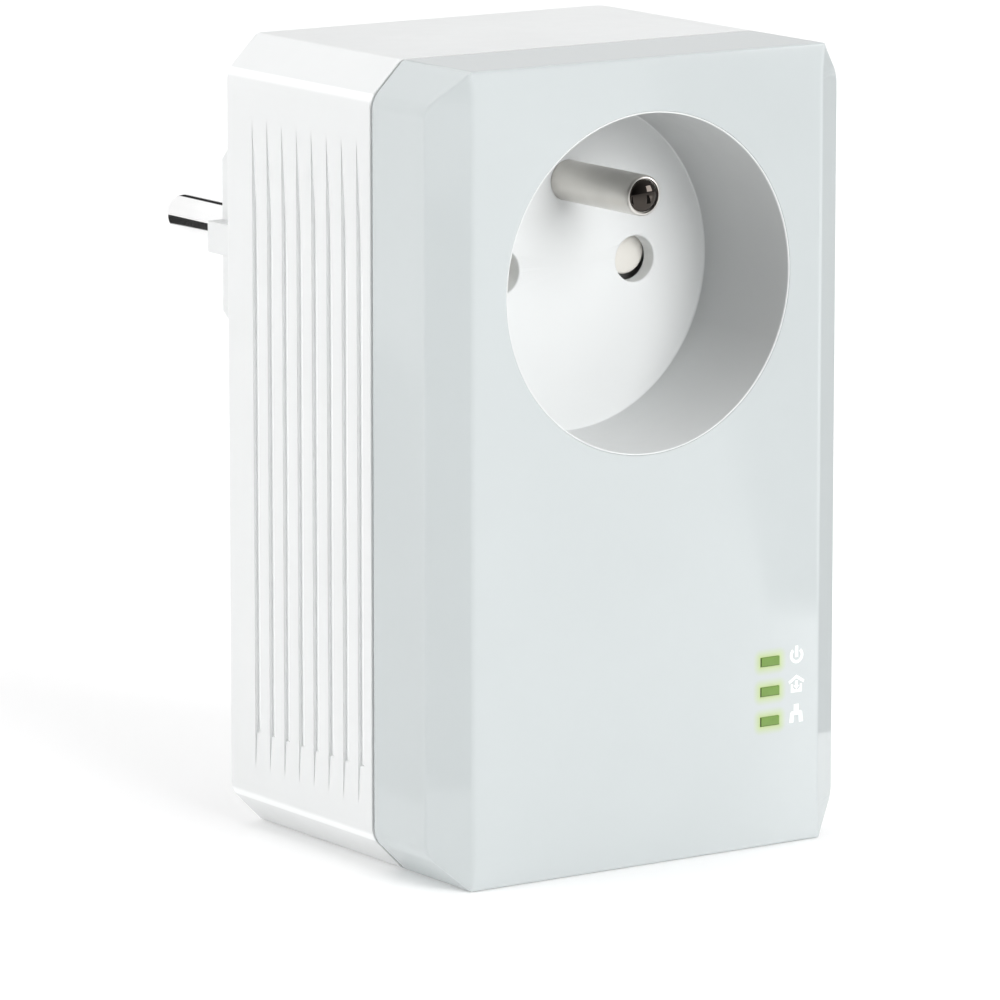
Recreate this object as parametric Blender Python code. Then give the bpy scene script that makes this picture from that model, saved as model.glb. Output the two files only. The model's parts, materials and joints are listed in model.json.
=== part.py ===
"""A plug-in powerline network adapter with a pass-through mains socket.

Frame: +Z up, +X to the right of someone who looks at the socket, +Y towards the wall.
The origin is the middle of the bounding box, at its base. Lengths are in metres.
"""

import math

import bmesh
import bpy

MM = 0.001

# Gaps
GAP = 0.3 * MM              # between pieces that touch
SNUG = 0.15 * MM            # around pieces seen from outside

# Case
WIDTH = 57.5 * MM
HEIGHT = 94.0 * MM
DEPTH = 45.0 * MM
COVER_DEPTH = 14.0 * MM     # front face to seam
WALL = 2.0 * MM
CORNER = 4.2 * MM           # 45 degree corner, seen from the front
SOFT_RADIUS = 3.0 * MM      # where a corner meets a side
EDGE_WIDTH = 4.5 * MM       # bevelled front edge, across
EDGE_DEPTH = 3.2 * MM       # bevelled front edge, along Y
TONGUE_LENGTH = 1.5 * MM
TONGUE_WALL = 1.0 * MM

# Wall plug
PLUG_DEPTH = 23.0 * MM
PLUG_RADIUS = 17.6 * MM
PLUG_FLAT = 15.0 * MM       # axis to each flat side
PLUG_DROP = 1.5 * MM        # plug axis below the socket's
PLUG_FLANGE = 2.2 * MM      # how far the inner flange reaches past the hole
FLANGE_THICK = 2.5 * MM
RIB_REACH = 17.1 * MM
RIB_HEIGHT = 3.8 * MM
PIN_RADIUS = 2.4 * MM
PIN_LENGTH = 19.0 * MM
PIN_NOSE = 1.6 * MM          # length of a pin's rounded end
PIN_FLAT = 0.85 * MM         # radius of the flat at its tip
PIN_TAIL = 7.3 * MM          # how far a pin reaches inside, past the flange
PIN_SPACING = 19.0 * MM
EARTH_OFFSET = 10.0 * MM    # earth pin above the line of the two holes
CLIP_WIDTH = 6.0 * MM
CLIP_THICK = 0.7 * MM
CLIP_LENGTH = 17.0 * MM
CLIP_BOW = 1.1 * MM

# Socket
SOCKET_BELOW_TOP = 26.0 * MM
WELL_RADIUS = 19.6 * MM
WELL_DRAFT = 0.2 * MM       # radius lost between mouth and floor
WELL_DEPTH = 16.5 * MM
WELL_LIP = 0.4 * MM
WELL_WALL = 1.5 * MM
FLOOR_THICK = 2.0 * MM
HOLE_PLAY = 0.3 * MM        # around a pin in a contact hole
EARTH_TIP_SETBACK = 1.2 * MM
BLADE_OVERLAP = 0.5 * MM    # shutter blade past its hole
SHUTTER_THICK = 1.2 * MM
HUB_RADIUS = 3.6 * MM
POST_RADIUS = 1.5 * MM
SPRING_ROOM = 2.4 * MM
SPRING_RADIUS = 2.6 * MM
SPRING_WIRE = 0.4 * MM
SPRING_TURNS = 2.5
HOLDER_HALF_WIDTH = 15.5 * MM
HOLDER_BELOW = 8.0 * MM
HOLDER_ABOVE = 15.0 * MM
CONTACT_WALL = 0.5 * MM
BUSBAR_THICK = 0.8 * MM

# Side grooves
GROOVE_COUNT = 8
GROOVE_PITCH = 3.17 * MM
GROOVE_WIDTH = 1.1 * MM
GROOVE_DEPTH = 0.8 * MM
GROOVE_FROM_BACK = 6.5 * MM
GROOVE_BOTTOM = 12.0 * MM
GROOVE_TOP_BELOW = 12.0 * MM

# Indicator lights
LIGHT_INSET = 11.45 * MM    # from the case's side
LIGHT_TOP_Z = 22.0 * MM
LIGHT_PITCH = 3.55 * MM
LIGHT_WIDTH = 2.65 * MM
LIGHT_HEIGHT = 1.1 * MM
LIGHT_NAMES = ("power", "home", "network")

# Screws
SCREW_INSET_X = 6.95 * MM
SCREW_INSET_Z = 7.5 * MM
SCREW_RADIUS = 1.3 * MM
SCREW_HEAD_RADIUS = 2.7 * MM
SCREW_HEAD_HEIGHT = 1.8 * MM
SCREW_LENGTH = 16.0 * MM
SCREW_RECESS = 8.0 * MM
CROSS_HALF_WIDTH = 0.35 * MM
CROSS_DEPTH = 0.9 * MM
POST_OUTER = 3.1 * MM
BOSS_OUTER = 4.2 * MM
BOSS_LENGTH = 11.8 * MM

# Circuit board
BOARD_FROM_SEAM = 8.5 * MM
BOARD_THICK = 1.6 * MM
BOARD_SIDE_ROOM = 3.55 * MM # case side to board edge
BOARD_BOTTOM = 3.5 * MM

# Network jack, opening downwards
JACK_X = -8.25 * MM
JACK_WIDTH = 15.5 * MM
JACK_DEPTH = 13.5 * MM
JACK_HEIGHT = 16.0 * MM
PORT_WIDTH = 11.8 * MM
PORT_DEPTH = 8.6 * MM
PORT_HEIGHT = 13.0 * MM
LATCH_WIDTH = 6.0 * MM
LATCH_DEPTH = 1.6 * MM

# Pairing button
BUTTON_X = 12.0 * MM
BUTTON_RADIUS = 2.5 * MM
BUTTON_SETBACK = 0.4 * MM
BUTTON_FLANGE = 0.9 * MM
BUTTON_STEM = 2.2 * MM
PLUNGER_RADIUS = 1.6 * MM
PLUNGER_LENGTH = 2.2 * MM
PLUNGER_REACH = 1.3 * MM    # how far it stands out of the switch
SWITCH_SIDE = 6.0 * MM
SWITCH_HEIGHT = 3.5 * MM

# Rating label
LABEL_HALF_WIDTH = 19.0 * MM
LABEL_BOTTOM = 13.0 * MM
LABEL_TOP = 42.0 * MM
LABEL_THICK = 0.3 * MM

# Insulating sheet between board and socket
SHEET_THICK = 0.5 * MM
SHEET_ABOVE_BOARD = 1.1 * MM
SHEET_SIDE_ROOM = 6.75 * MM
SHEET_BELOW_WELL = 0.9 * MM
SHEET_DEPTH = 14.0 * MM

# Supply parts, on the board's wall side
BULK_X = -17.2 * MM
BULK_Z = 18.0 * MM
BULK_RADIUS = 5.0 * MM
BULK_HEIGHT = 12.8 * MM
FUSE_X = -20.8 * MM
FUSE_BELOW_TOP = 11.0 * MM  # fuse's lower end below the board's top edge
FUSE_RADIUS = 2.5 * MM
FUSE_LENGTH = 10.0 * MM
CAN_X = 20.5 * MM
CAN_Z = 21.5 * MM
CAN_RADIUS = 3.2 * MM
CAN_HEIGHT = 9.8 * MM
DISC_RIM = 0.6 * MM
CORE_Z = 23.5 * MM
CORE_SIZE = (18.0 * MM, 5.0 * MM, 13.0 * MM)
CORE_LEG = 2.8 * MM         # half of the middle leg
CORE_WINDOW = 6.6 * MM      # middle to the far side of a window
CORE_WINDOW_HALF = 3.6 * MM
WINDING_BULGE = 3.2 * MM    # winding past the core, on either side
CHOKE_X = 17.0 * MM
CHOKE_BELOW_TOP = 9.5 * MM
CHOKE_OUTER = 5.6 * MM
CHOKE_INNER = 3.0 * MM
CHOKE_HALF = 1.5 * MM
CHOKE_COPPER = 0.3 * MM

# Heat sink
SINK_HALF = 6.0 * MM
SINK_BASE = 1.5 * MM
SINK_TALL = 6.0 * MM
SINK_FIN = 1.0 * MM
SINK_FINS = 5

# Leads
LEAD_DIAMETER = 1.4 * MM
LEAD_LANDING = 2.5 * MM     # below the board's top edge

ROUND = 48                  # sides of a large round piece
SMALL_ROUND = 20            # sides of a pin or a hole

# Places that follow from the sizes
TOTAL_DEPTH = DEPTH + PLUG_DEPTH + PIN_LENGTH
FRONT_Y = -TOTAL_DEPTH / 2
SEAM_Y = FRONT_Y + COVER_DEPTH
BACK_Y = FRONT_Y + DEPTH
PLUG_END_Y = BACK_Y + PLUG_DEPTH
PIN_END_Y = PLUG_END_Y + PIN_LENGTH
HALF_WIDTH = WIDTH / 2
WELL_FLOOR_Y = FRONT_Y + WELL_DEPTH
WELL_FLOOR_RADIUS = WELL_RADIUS - WELL_DRAFT
WELL_BACK_Y = WELL_FLOOR_Y + FLOOR_THICK
HOLE_X = PIN_SPACING / 2
HOLE_RADIUS = PIN_RADIUS + HOLE_PLAY
BLADE_RADIUS = HOLE_RADIUS + BLADE_OVERLAP
SOCKET_Z = HEIGHT - SOCKET_BELOW_TOP
PLUG_Z = SOCKET_Z - PLUG_DROP
WELL_OUTER = WELL_RADIUS + WELL_LIP + WELL_WALL
LIGHT_X = HALF_WIDTH - LIGHT_INSET
EARTH_Z = SOCKET_Z + EARTH_OFFSET
PLUG_EARTH_Z = PLUG_Z + EARTH_OFFSET
SHUTTER_Y = WELL_BACK_Y + GAP
HOLDER_Y = SHUTTER_Y + SHUTTER_THICK + SPRING_ROOM
FLANGE_Y = BACK_Y - WALL - GAP - FLANGE_THICK
PIN_START_Y = FLANGE_Y - PIN_TAIL
BUSBAR_Y = PIN_START_Y - GAP - BUSBAR_THICK
HOLDER_END_Y = BUSBAR_Y - GAP
SHEET_Z = SOCKET_Z - WELL_OUTER - SHEET_BELOW_WELL - SHEET_THICK
SHEET_HALF_WIDTH = HALF_WIDTH - SHEET_SIDE_ROOM
BOARD_TOP = SHEET_Z - SHEET_ABOVE_BOARD
BOARD_HALF_WIDTH = HALF_WIDTH - BOARD_SIDE_ROOM
BOARD_Y = SEAM_Y + BOARD_FROM_SEAM
BOARD_BACK_Y = BOARD_Y + BOARD_THICK
PARTS_Y = BOARD_BACK_Y + GAP          # parts on the board's wall side start here
CHIPS_Y = BOARD_Y - GAP               # parts on the board's front side end here
JACK_Y = PARTS_Y
PORT_Y = JACK_Y + 1.9 * MM
SCREW_X = HALF_WIDTH - SCREW_INSET_X
SCREW_Z = (SCREW_INSET_Z, HEIGHT - SCREW_INSET_Z)
BOSS_Y = BACK_Y - WALL - BOSS_LENGTH
SCREW_HEAD_Y = BACK_Y - SCREW_RECESS  # rear of each head
BUTTON_Y = JACK_Y + 6.6 * MM
BUSBAR_END_Z = SHEET_Z + 5.0 * MM
FUSE_Z = BOARD_TOP - FUSE_BELOW_TOP
CHOKE_PLACE = (CHOKE_X, BOARD_TOP - CHOKE_BELOW_TOP)


# ---------------------------------------------------------------- materials

def material(name, colour, roughness, metallic=0.0, alpha=1.0):
    """A Principled material with the given finish."""
    finish = bpy.data.materials.new(name)
    finish.use_nodes = True
    shader = finish.node_tree.nodes["Principled BSDF"]
    shader.inputs["Base Color"].default_value = (*colour, 1.0)
    shader.inputs["Roughness"].default_value = roughness
    shader.inputs["Metallic"].default_value = metallic
    shader.inputs["Alpha"].default_value = alpha
    finish.diffuse_color = (*colour, alpha)
    return finish


def make_materials():
    """Every finish of the adapter, by name."""
    return {
        "white": material("matte_white_shell", (0.86, 0.87, 0.87), 0.45),
        "cover": material("gloss_pale_grey_cover", (0.70, 0.75, 0.76), 0.12),
        "well": material("satin_white_well", (0.84, 0.85, 0.85), 0.35),
        "cream": material("cream_shutter", (0.78, 0.76, 0.70), 0.4),
        "nickel": material("satin_nickel", (0.62, 0.60, 0.56), 0.28, 1.0),
        "chrome": material("bright_nickel", (0.78, 0.78, 0.78), 0.08, 1.0),
        "brass": material("brass_strip", (0.72, 0.53, 0.25), 0.3, 1.0),
        "steel": material("zinc_steel", (0.60, 0.61, 0.63), 0.35, 1.0),
        "board": material("green_board", (0.03, 0.20, 0.09), 0.5),
        "black": material("black_moulding", (0.03, 0.03, 0.03), 0.5),
        "lamp": material("green_lamp", (0.32, 0.75, 0.20), 0.3),
        "clear": material("clear_pipe", (0.45, 0.75, 0.30), 0.1, 0.0, 0.8),
        "can": material("aluminium_can", (0.70, 0.70, 0.72), 0.3, 1.0),
        "yellow": material("yellow_film", (0.78, 0.62, 0.12), 0.45),
        "blue": material("blue_epoxy", (0.05, 0.16, 0.42), 0.35),
        "ferrite": material("dark_ferrite", (0.07, 0.07, 0.08), 0.7),
        "copper": material("enamelled_copper", (0.60, 0.27, 0.10), 0.35, 1.0),
        "glass": material("fuse_glass", (0.70, 0.72, 0.70), 0.1, 0.0, 0.6),
        "paper": material("pale_label", (0.80, 0.80, 0.79), 0.6),
        "sheet": material("insulating_film", (0.75, 0.75, 0.70), 0.5),
        "brown": material("brown_insulation", (0.20, 0.08, 0.03), 0.5),
        "blue_wire": material("blue_insulation", (0.04, 0.12, 0.45), 0.5),
        "heat": material("heat_sink_black", (0.05, 0.05, 0.055), 0.4, 1.0),
    }


# ---------------------------------------------------------------- mesh tools

def finished(name, mesh_data, finish):
    """An object of the mesh, with normals out and one material."""
    bmesh.ops.recalc_face_normals(mesh_data, faces=mesh_data.faces)
    mesh = bpy.data.meshes.new(name)
    mesh_data.to_mesh(mesh)
    mesh_data.free()
    if finish is not None:
        mesh.materials.append(finish)
    mesh.shade_smooth()
    mesh.set_sharp_from_angle(angle=math.radians(35))
    piece = bpy.data.objects.new(name, mesh)
    bpy.context.scene.collection.objects.link(piece)
    return piece


def add_box(mesh_data, low, high):
    """Adds a closed box between two corners."""
    made = bmesh.ops.create_cube(mesh_data, size=1.0)
    for vert in made["verts"]:
        for axis in range(3):
            middle = (low[axis] + high[axis]) / 2
            vert.co[axis] = middle + vert.co[axis] * (high[axis] - low[axis])


def add_loft(mesh_data, sections):
    """Adds a closed body through sections of equal point counts, with flat ends."""
    rings = [[mesh_data.verts.new(point) for point in section] for section in sections]
    add_bands(mesh_data, rings)
    mesh_data.faces.new(rings[0])
    mesh_data.faces.new(tuple(reversed(rings[-1])))


def placed(point, level, axis):
    """A 2D point at a level along an axis: (x, z) along Y, (x, y) along Z, (y, z) along X."""
    first, second = point
    if axis == "Y":
        return (first, level, second)
    if axis == "Z":
        return (first, second, level)
    return (level, first, second)


def add_bands(mesh_data, rings):
    """Adds the faces between each ring of vertices and the next."""
    for first, second in zip(rings, rings[1:]):
        count = len(first)
        for i in range(count):
            j = (i + 1) % count
            mesh_data.faces.new((first[i], first[j], second[j], second[i]))


def add_prism(mesh_data, outline, axis, low, high):
    """Adds an outline carried straight along an axis."""
    add_loft(mesh_data, [[placed(p, level, axis) for p in outline] for level in (low, high)])


def circle(radius, centre=(0.0, 0.0), sides=SMALL_ROUND):
    """Points around a circle."""
    turns = [2 * math.pi * (i + 0.5) / sides for i in range(sides)]
    return [(centre[0] + radius * math.cos(t), centre[1] + radius * math.sin(t)) for t in turns]


def add_rod(mesh_data, axis, centre, steps, sides=SMALL_ROUND):
    """Adds a round body along an axis through (level, radius) steps."""
    sections = []
    for level, radius in steps:
        sections.append([placed(p, level, axis) for p in circle(radius, centre, sides)])
    add_loft(mesh_data, sections)


def add_tube(mesh_data, axis, centre, low, high, outer, inner, sides=SMALL_ROUND):
    """Adds an open-ended tube along an axis."""
    steps = [(low, outer), (high, outer), (high, inner), (low, inner)]
    rings = []
    for level, radius in steps:
        ring = [placed(p, level, axis) for p in circle(radius, centre, sides)]
        rings.append([mesh_data.verts.new(point) for point in ring])
    add_bands(mesh_data, rings + rings[:1])


def simple(name, finish, *boxes):
    """An object of one or more separate boxes, each (low, high)."""
    mesh_data = bmesh.new()
    for low, high in boxes:
        add_box(mesh_data, low, high)
    return finished(name, mesh_data, finish)


def tool(name, mesh_data):
    """A hidden object that a Boolean uses."""
    helper = finished(name, mesh_data, None)
    helper.hide_render = True
    helper.display_type = "WIRE"
    return helper


def combine(piece, helper, operation, overlapping=False):
    """Cuts, joins or keeps the common part of a piece and a helper."""
    step = piece.modifiers.new(helper.name, "BOOLEAN")
    step.operation = operation
    step.object = helper
    step.solver = "EXACT"
    step.use_self = overlapping


def box_at(x, y, z, size):
    """Corners of a box that starts at y and is centred on x and z."""
    half_x, depth, half_z = size[0] / 2, size[1], size[2] / 2
    return ((x - half_x, y, z - half_z), (x + half_x, y + depth, z + half_z))


# ---------------------------------------------------------------- case outline

def rounded_corner(before, corner, after, radius, steps=4):
    """Points of an arc of the given radius that replaces a corner of a polygon."""
    ax, az = before[0] - corner[0], before[1] - corner[1]
    bx, bz = after[0] - corner[0], after[1] - corner[1]
    a_length, b_length = math.hypot(ax, az), math.hypot(bx, bz)
    ax, az, bx, bz = ax / a_length, az / a_length, bx / b_length, bz / b_length
    half = math.acos(ax * bx + az * bz) / 2
    reach = min(radius / math.tan(half), 0.45 * min(a_length, b_length))
    mx, mz = ax + bx, az + bz
    m_length = math.hypot(mx, mz)
    to_centre = reach / math.cos(half) / m_length
    cx, cz = corner[0] + mx * to_centre, corner[1] + mz * to_centre
    start = math.atan2(corner[1] + az * reach - cz, corner[0] + ax * reach - cx)
    end = math.atan2(corner[1] + bz * reach - cz, corner[0] + bx * reach - cx)
    sweep = (end - start + math.pi) % (2 * math.pi) - math.pi
    real = reach * math.tan(half)
    angles = [start + sweep * i / steps for i in range(steps + 1)]
    return [(cx + real * math.cos(t), cz + real * math.sin(t)) for t in angles]


def case_outline(inset):
    """The case seen from the front, moved inwards by the inset."""
    side = HALF_WIDTH - inset
    low, high = inset, HEIGHT - inset
    # A 45 degree cut moved in by the inset starts this far from the inset corner.
    cut = CORNER - inset * (2 - math.sqrt(2))
    cut = max(cut, 0.5 * MM)
    soft = max(SOFT_RADIUS - inset, 0.5 * MM)
    half = [(side - cut, low)]
    half += rounded_corner((side - cut, low), (side, low + cut), (side, HEIGHT / 2), soft)
    half += rounded_corner((side, HEIGHT / 2), (side, high - cut), (side - cut, high), soft)
    half.append((side - cut, high))
    return half + [(-x, z) for x, z in reversed(half)]


def split_at(outline, x_cut):
    """The outline with a point added wherever an edge crosses x = x_cut."""
    points = []
    for (ax, az), (bx, bz) in zip(outline, outline[1:] + outline[:1]):
        points.append((ax, az))
        if (ax - x_cut) * (bx - x_cut) < 0:
            share = (x_cut - ax) / (bx - ax)
            points.append((x_cut, az + share * (bz - az)))
    return points


def add_fronted_prism(mesh_data, inset, front_y, back_y):
    """The case outline carried along Y, with both front side edges bevelled."""
    slope = EDGE_DEPTH / EDGE_WIDTH
    # A bevel plane moved in by the inset meets the inset front face this far from the middle.
    shift = inset * (math.sqrt(1 + slope * slope) - 1) / slope
    face = HALF_WIDTH - EDGE_WIDTH - shift
    outline = split_at(split_at(case_outline(inset), face), -face)

    def level(x):
        return front_y + max(abs(x) - face, 0.0) * slope

    front = [mesh_data.verts.new((x, level(x), z)) for x, z in outline]
    back = [mesh_data.verts.new((x, back_y, z)) for x, z in outline]
    add_bands(mesh_data, [front, back])
    mesh_data.faces.new(back)
    tiny = 1e-9
    regions = (
        lambda x: abs(x) <= face + tiny,
        lambda x: x >= face - tiny,
        lambda x: x <= -face + tiny,
    )
    for inside in regions:
        mesh_data.faces.new([v for v, (x, _) in zip(front, outline) if inside(x)])


# ---------------------------------------------------------------- shells

def screw_places():
    """(x, z) of each case screw."""
    return [(x, z) for z in SCREW_Z for x in (-SCREW_X, SCREW_X)]


def light_places():
    """(name, z) of each indicator light, top to bottom."""
    return [(name, LIGHT_TOP_Z - i * LIGHT_PITCH) for i, name in enumerate(LIGHT_NAMES)]


def make_front_cover(finish):
    """The front shell, with its screw posts, socket opening and light windows."""
    body = bmesh.new()
    add_fronted_prism(body, 0.0, FRONT_Y, SEAM_Y)
    cover = finished("front_cover", body, finish["cover"])

    hollow = bmesh.new()
    add_fronted_prism(hollow, WALL, FRONT_Y + WALL, SEAM_Y + WALL)
    combine(cover, tool("cut_cover_hollow", hollow), "DIFFERENCE")

    posts = bmesh.new()
    for place in screw_places():
        add_rod(posts, "Y", place, [(FRONT_Y + WALL / 2, POST_OUTER), (BOSS_Y - GAP, POST_OUTER)])
    combine(cover, tool("join_cover_posts", posts), "UNION")

    holes = bmesh.new()
    opening = WELL_RADIUS + WELL_LIP + SNUG
    through = (FRONT_Y - WALL, FRONT_Y + 2 * WALL)
    add_prism(holes, circle(opening, (0.0, SOCKET_Z), ROUND), "Y", *through)
    for _, z in light_places():
        half_x, half_z = LIGHT_WIDTH / 2 + SNUG, LIGHT_HEIGHT / 2 + SNUG
        low = (LIGHT_X - half_x, through[0], z - half_z)
        high = (LIGHT_X + half_x, through[1], z + half_z)
        add_box(holes, low, high)
    for place in screw_places():
        end = SCREW_HEAD_Y - SCREW_HEAD_HEIGHT - SCREW_LENGTH - GAP
        add_rod(holes, "Y", place, [(end, SCREW_RADIUS + GAP), (BOSS_Y, SCREW_RADIUS + GAP)])
    combine(cover, tool("cut_cover_holes", holes), "DIFFERENCE")
    return cover


def plug_outline(extra):
    """The plug body's round outline with two flat sides, grown by extra."""
    radius, flat = PLUG_RADIUS + extra, PLUG_FLAT + extra
    corner = math.acos(flat / radius)
    steps = ROUND // 2
    points = []
    for start in (corner, math.pi + corner):
        sweep = math.pi - 2 * corner
        for i in range(steps + 1):
            turn = start + sweep * i / steps
            points.append((radius * math.cos(turn), PLUG_Z + radius * math.sin(turn)))
    return points


def add_ribs(mesh_data, extra):
    """The two guide ribs on the plug's flat sides."""
    half = RIB_HEIGHT / 2 + extra
    for side in (-1, 1):
        ends = sorted((side * (PLUG_FLAT - WALL), side * (RIB_REACH + extra)))
        low = (ends[0], BACK_Y - 2 * WALL, PLUG_Z - half)
        high = (ends[1], PLUG_END_Y + extra * 2, PLUG_Z + half)
        add_box(mesh_data, low, high)


def groove_places():
    """The middle of each side groove along Y, from the wall side forwards."""
    return [BACK_Y - GROOVE_FROM_BACK - i * GROOVE_PITCH for i in range(GROOVE_COUNT)]


def jack_box(extra):
    """Corners of the network jack, grown by extra."""
    low = (JACK_X - JACK_WIDTH / 2 - extra, JACK_Y - extra, GAP - extra)
    high = (JACK_X + JACK_WIDTH / 2 + extra, JACK_Y + JACK_DEPTH + extra, JACK_HEIGHT + extra)
    return low, high


def make_rear_housing(finish):
    """The wall-side shell: side grooves, plug hole, jack and button holes, screw bosses."""
    body = bmesh.new()
    add_prism(body, case_outline(0.0), "Y", SEAM_Y + GAP, BACK_Y)
    housing = finished("rear_housing", body, finish["white"])

    tongue = bmesh.new()
    lap = WALL + GAP
    add_prism(tongue, case_outline(lap), "Y", SEAM_Y - TONGUE_LENGTH, SEAM_Y + WALL)
    combine(housing, tool("join_tongue", tongue), "UNION")
    hollow = bmesh.new()
    add_prism(hollow, case_outline(WALL), "Y", SEAM_Y + WALL, BACK_Y - WALL)
    combine(housing, tool("cut_housing_hollow", hollow), "DIFFERENCE")
    mouth = bmesh.new()
    outline = case_outline(lap + TONGUE_WALL)
    add_prism(mouth, outline, "Y", SEAM_Y - 2 * TONGUE_LENGTH, SEAM_Y + 2 * WALL)
    combine(housing, tool("cut_housing_mouth", mouth), "DIFFERENCE")

    bosses = bmesh.new()
    for place in screw_places():
        add_rod(bosses, "Y", place, [(BOSS_Y, BOSS_OUTER), (BACK_Y - WALL / 2, BOSS_OUTER)])
    combine(housing, tool("join_bosses", bosses), "UNION")

    holes = bmesh.new()
    for place in screw_places():
        shaft, head = SCREW_RADIUS + GAP, SCREW_HEAD_RADIUS + GAP
        seat = SCREW_HEAD_Y - SCREW_HEAD_HEIGHT - GAP
        steps = [(BOSS_Y - WALL, shaft), (seat, shaft), (seat, head), (BACK_Y + WALL, head)]
        add_rod(holes, "Y", place, steps)
    for y in groove_places():
        for side in (-1, 1):
            ends = sorted((side * (HALF_WIDTH - GROOVE_DEPTH), side * (HALF_WIDTH + WALL)))
            low = (ends[0], y - GROOVE_WIDTH / 2, GROOVE_BOTTOM)
            high = (ends[1], y + GROOVE_WIDTH / 2, HEIGHT - GROOVE_TOP_BELOW)
            add_box(holes, low, high)
    add_prism(holes, plug_outline(GAP), "Y", BACK_Y - 2 * WALL, BACK_Y + WALL)
    low, high = jack_box(GAP)
    add_box(holes, (low[0], low[1], -WALL), (high[0], high[1], 2 * WALL))
    button = [(-WALL, BUTTON_RADIUS + GAP), (2 * WALL, BUTTON_RADIUS + GAP)]
    add_rod(holes, "Z", (BUTTON_X, BUTTON_Y), button)
    pocket = LABEL_THICK + GAP
    edge = LABEL_HALF_WIDTH + GAP
    low = (-edge, BACK_Y - pocket, LABEL_BOTTOM - GAP)
    add_box(holes, low, (edge, BACK_Y + WALL, LABEL_TOP + GAP))
    combine(housing, tool("cut_housing_holes", holes), "DIFFERENCE")
    ribs = bmesh.new()
    add_ribs(ribs, GAP)
    combine(housing, tool("cut_rib_slots", ribs), "DIFFERENCE")
    return housing


# ---------------------------------------------------------------- socket

def make_socket_well(finish):
    """The round cup that takes a plug, with two contact holes and one for the earth pin."""
    behind = FRONT_Y + WALL + GAP
    profile = [
        (WELL_RADIUS + WELL_LIP, behind),
        (WELL_RADIUS + WELL_LIP, FRONT_Y),
        (WELL_RADIUS, FRONT_Y),
        (WELL_FLOOR_RADIUS, WELL_FLOOR_Y),
        (0.0, WELL_FLOOR_Y),
        (0.0, WELL_BACK_Y),
        (WELL_OUTER, WELL_BACK_Y),
        (WELL_OUTER, behind),
    ]
    body = bmesh.new()
    rings = []
    for radius, level in profile:
        if radius == 0.0:
            rings.append([body.verts.new((0.0, level, SOCKET_Z))] * ROUND)
            continue
        ring = circle(radius, (0.0, SOCKET_Z), ROUND)
        rings.append([body.verts.new((x, level, z)) for x, z in ring])
    for first, second in zip(rings, rings[1:] + rings[:1]):
        for i in range(ROUND):
            j = (i + 1) % ROUND
            corners = []
            for vert in (first[i], first[j], second[j], second[i]):
                if vert not in corners:
                    corners.append(vert)
            if len(corners) > 2:
                body.faces.new(corners)
    well = finished("socket_well", body, finish["well"])
    holes = bmesh.new()
    through = (WELL_FLOOR_Y - FLOOR_THICK, WELL_BACK_Y + FLOOR_THICK)
    for x in (-HOLE_X, HOLE_X):
        add_rod(holes, "Y", (x, SOCKET_Z), [(y, HOLE_RADIUS) for y in through], 28)
    add_rod(holes, "Y", (0.0, EARTH_Z), [(y, PIN_RADIUS + SNUG) for y in through], 28)
    combine(well, tool("cut_well_holes", holes), "DIFFERENCE")
    return well


def pin_tip(tip_y, towards):
    """(level, radius) steps of a rounded pin end: a small flat, then a quarter of an ellipse."""
    steps = [(tip_y, PIN_FLAT)]
    for i in range(1, 5):
        turn = math.pi / 2 * i / 4
        level = tip_y + towards * PIN_NOSE * (1 - math.cos(turn))
        steps.append((level, PIN_FLAT + (PIN_RADIUS - PIN_FLAT) * math.sin(turn)))
    return steps


def make_socket_earth_pin(finish):
    """The earth pin that stands out of the well's floor."""
    body = bmesh.new()
    steps = pin_tip(FRONT_Y + EARTH_TIP_SETBACK, 1) + [(HOLDER_END_Y - GAP, PIN_RADIUS)]
    add_rod(body, "Y", (0.0, EARTH_Z), steps, 24)
    return finished("socket_earth_pin", body, finish["nickel"])


def make_shutter(finish):
    """The child-safety shutter: two blades on a hub, turning about the socket's centre."""
    low, high = SHUTTER_Y, SHUTTER_Y + SHUTTER_THICK
    pivot = (0.0, SOCKET_Z)
    body = bmesh.new()
    add_rod(body, "Y", (0.0, 0.0), [(low, HUB_RADIUS), (high, HUB_RADIUS)])
    shutter = finished("socket_shutter", body, finish["cream"])
    arms = bmesh.new()
    reach = HOLE_X - BLADE_RADIUS / 2
    add_box(arms, (-reach, low, -1.5 * MM), (reach, high, 1.5 * MM))
    blades = bmesh.new()
    for x in (-HOLE_X, HOLE_X):
        add_rod(blades, "Y", (x, 0.0), [(low, BLADE_RADIUS), (high, BLADE_RADIUS)], 24)
    bore = bmesh.new()
    around = POST_RADIUS + GAP
    add_rod(bore, "Y", (0.0, 0.0), [(low - WALL, around), (high + WALL, around)])
    steps = (("join_arms", arms, "UNION"), ("join_blades", blades, "UNION"),
             ("cut_hub", bore, "DIFFERENCE"))
    for name, data, operation in steps:
        helper = tool(name, data)
        helper.location = (pivot[0], 0.0, pivot[1])
        combine(shutter, helper, operation)
    shutter.location = (pivot[0], 0.0, pivot[1])
    return shutter


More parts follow.
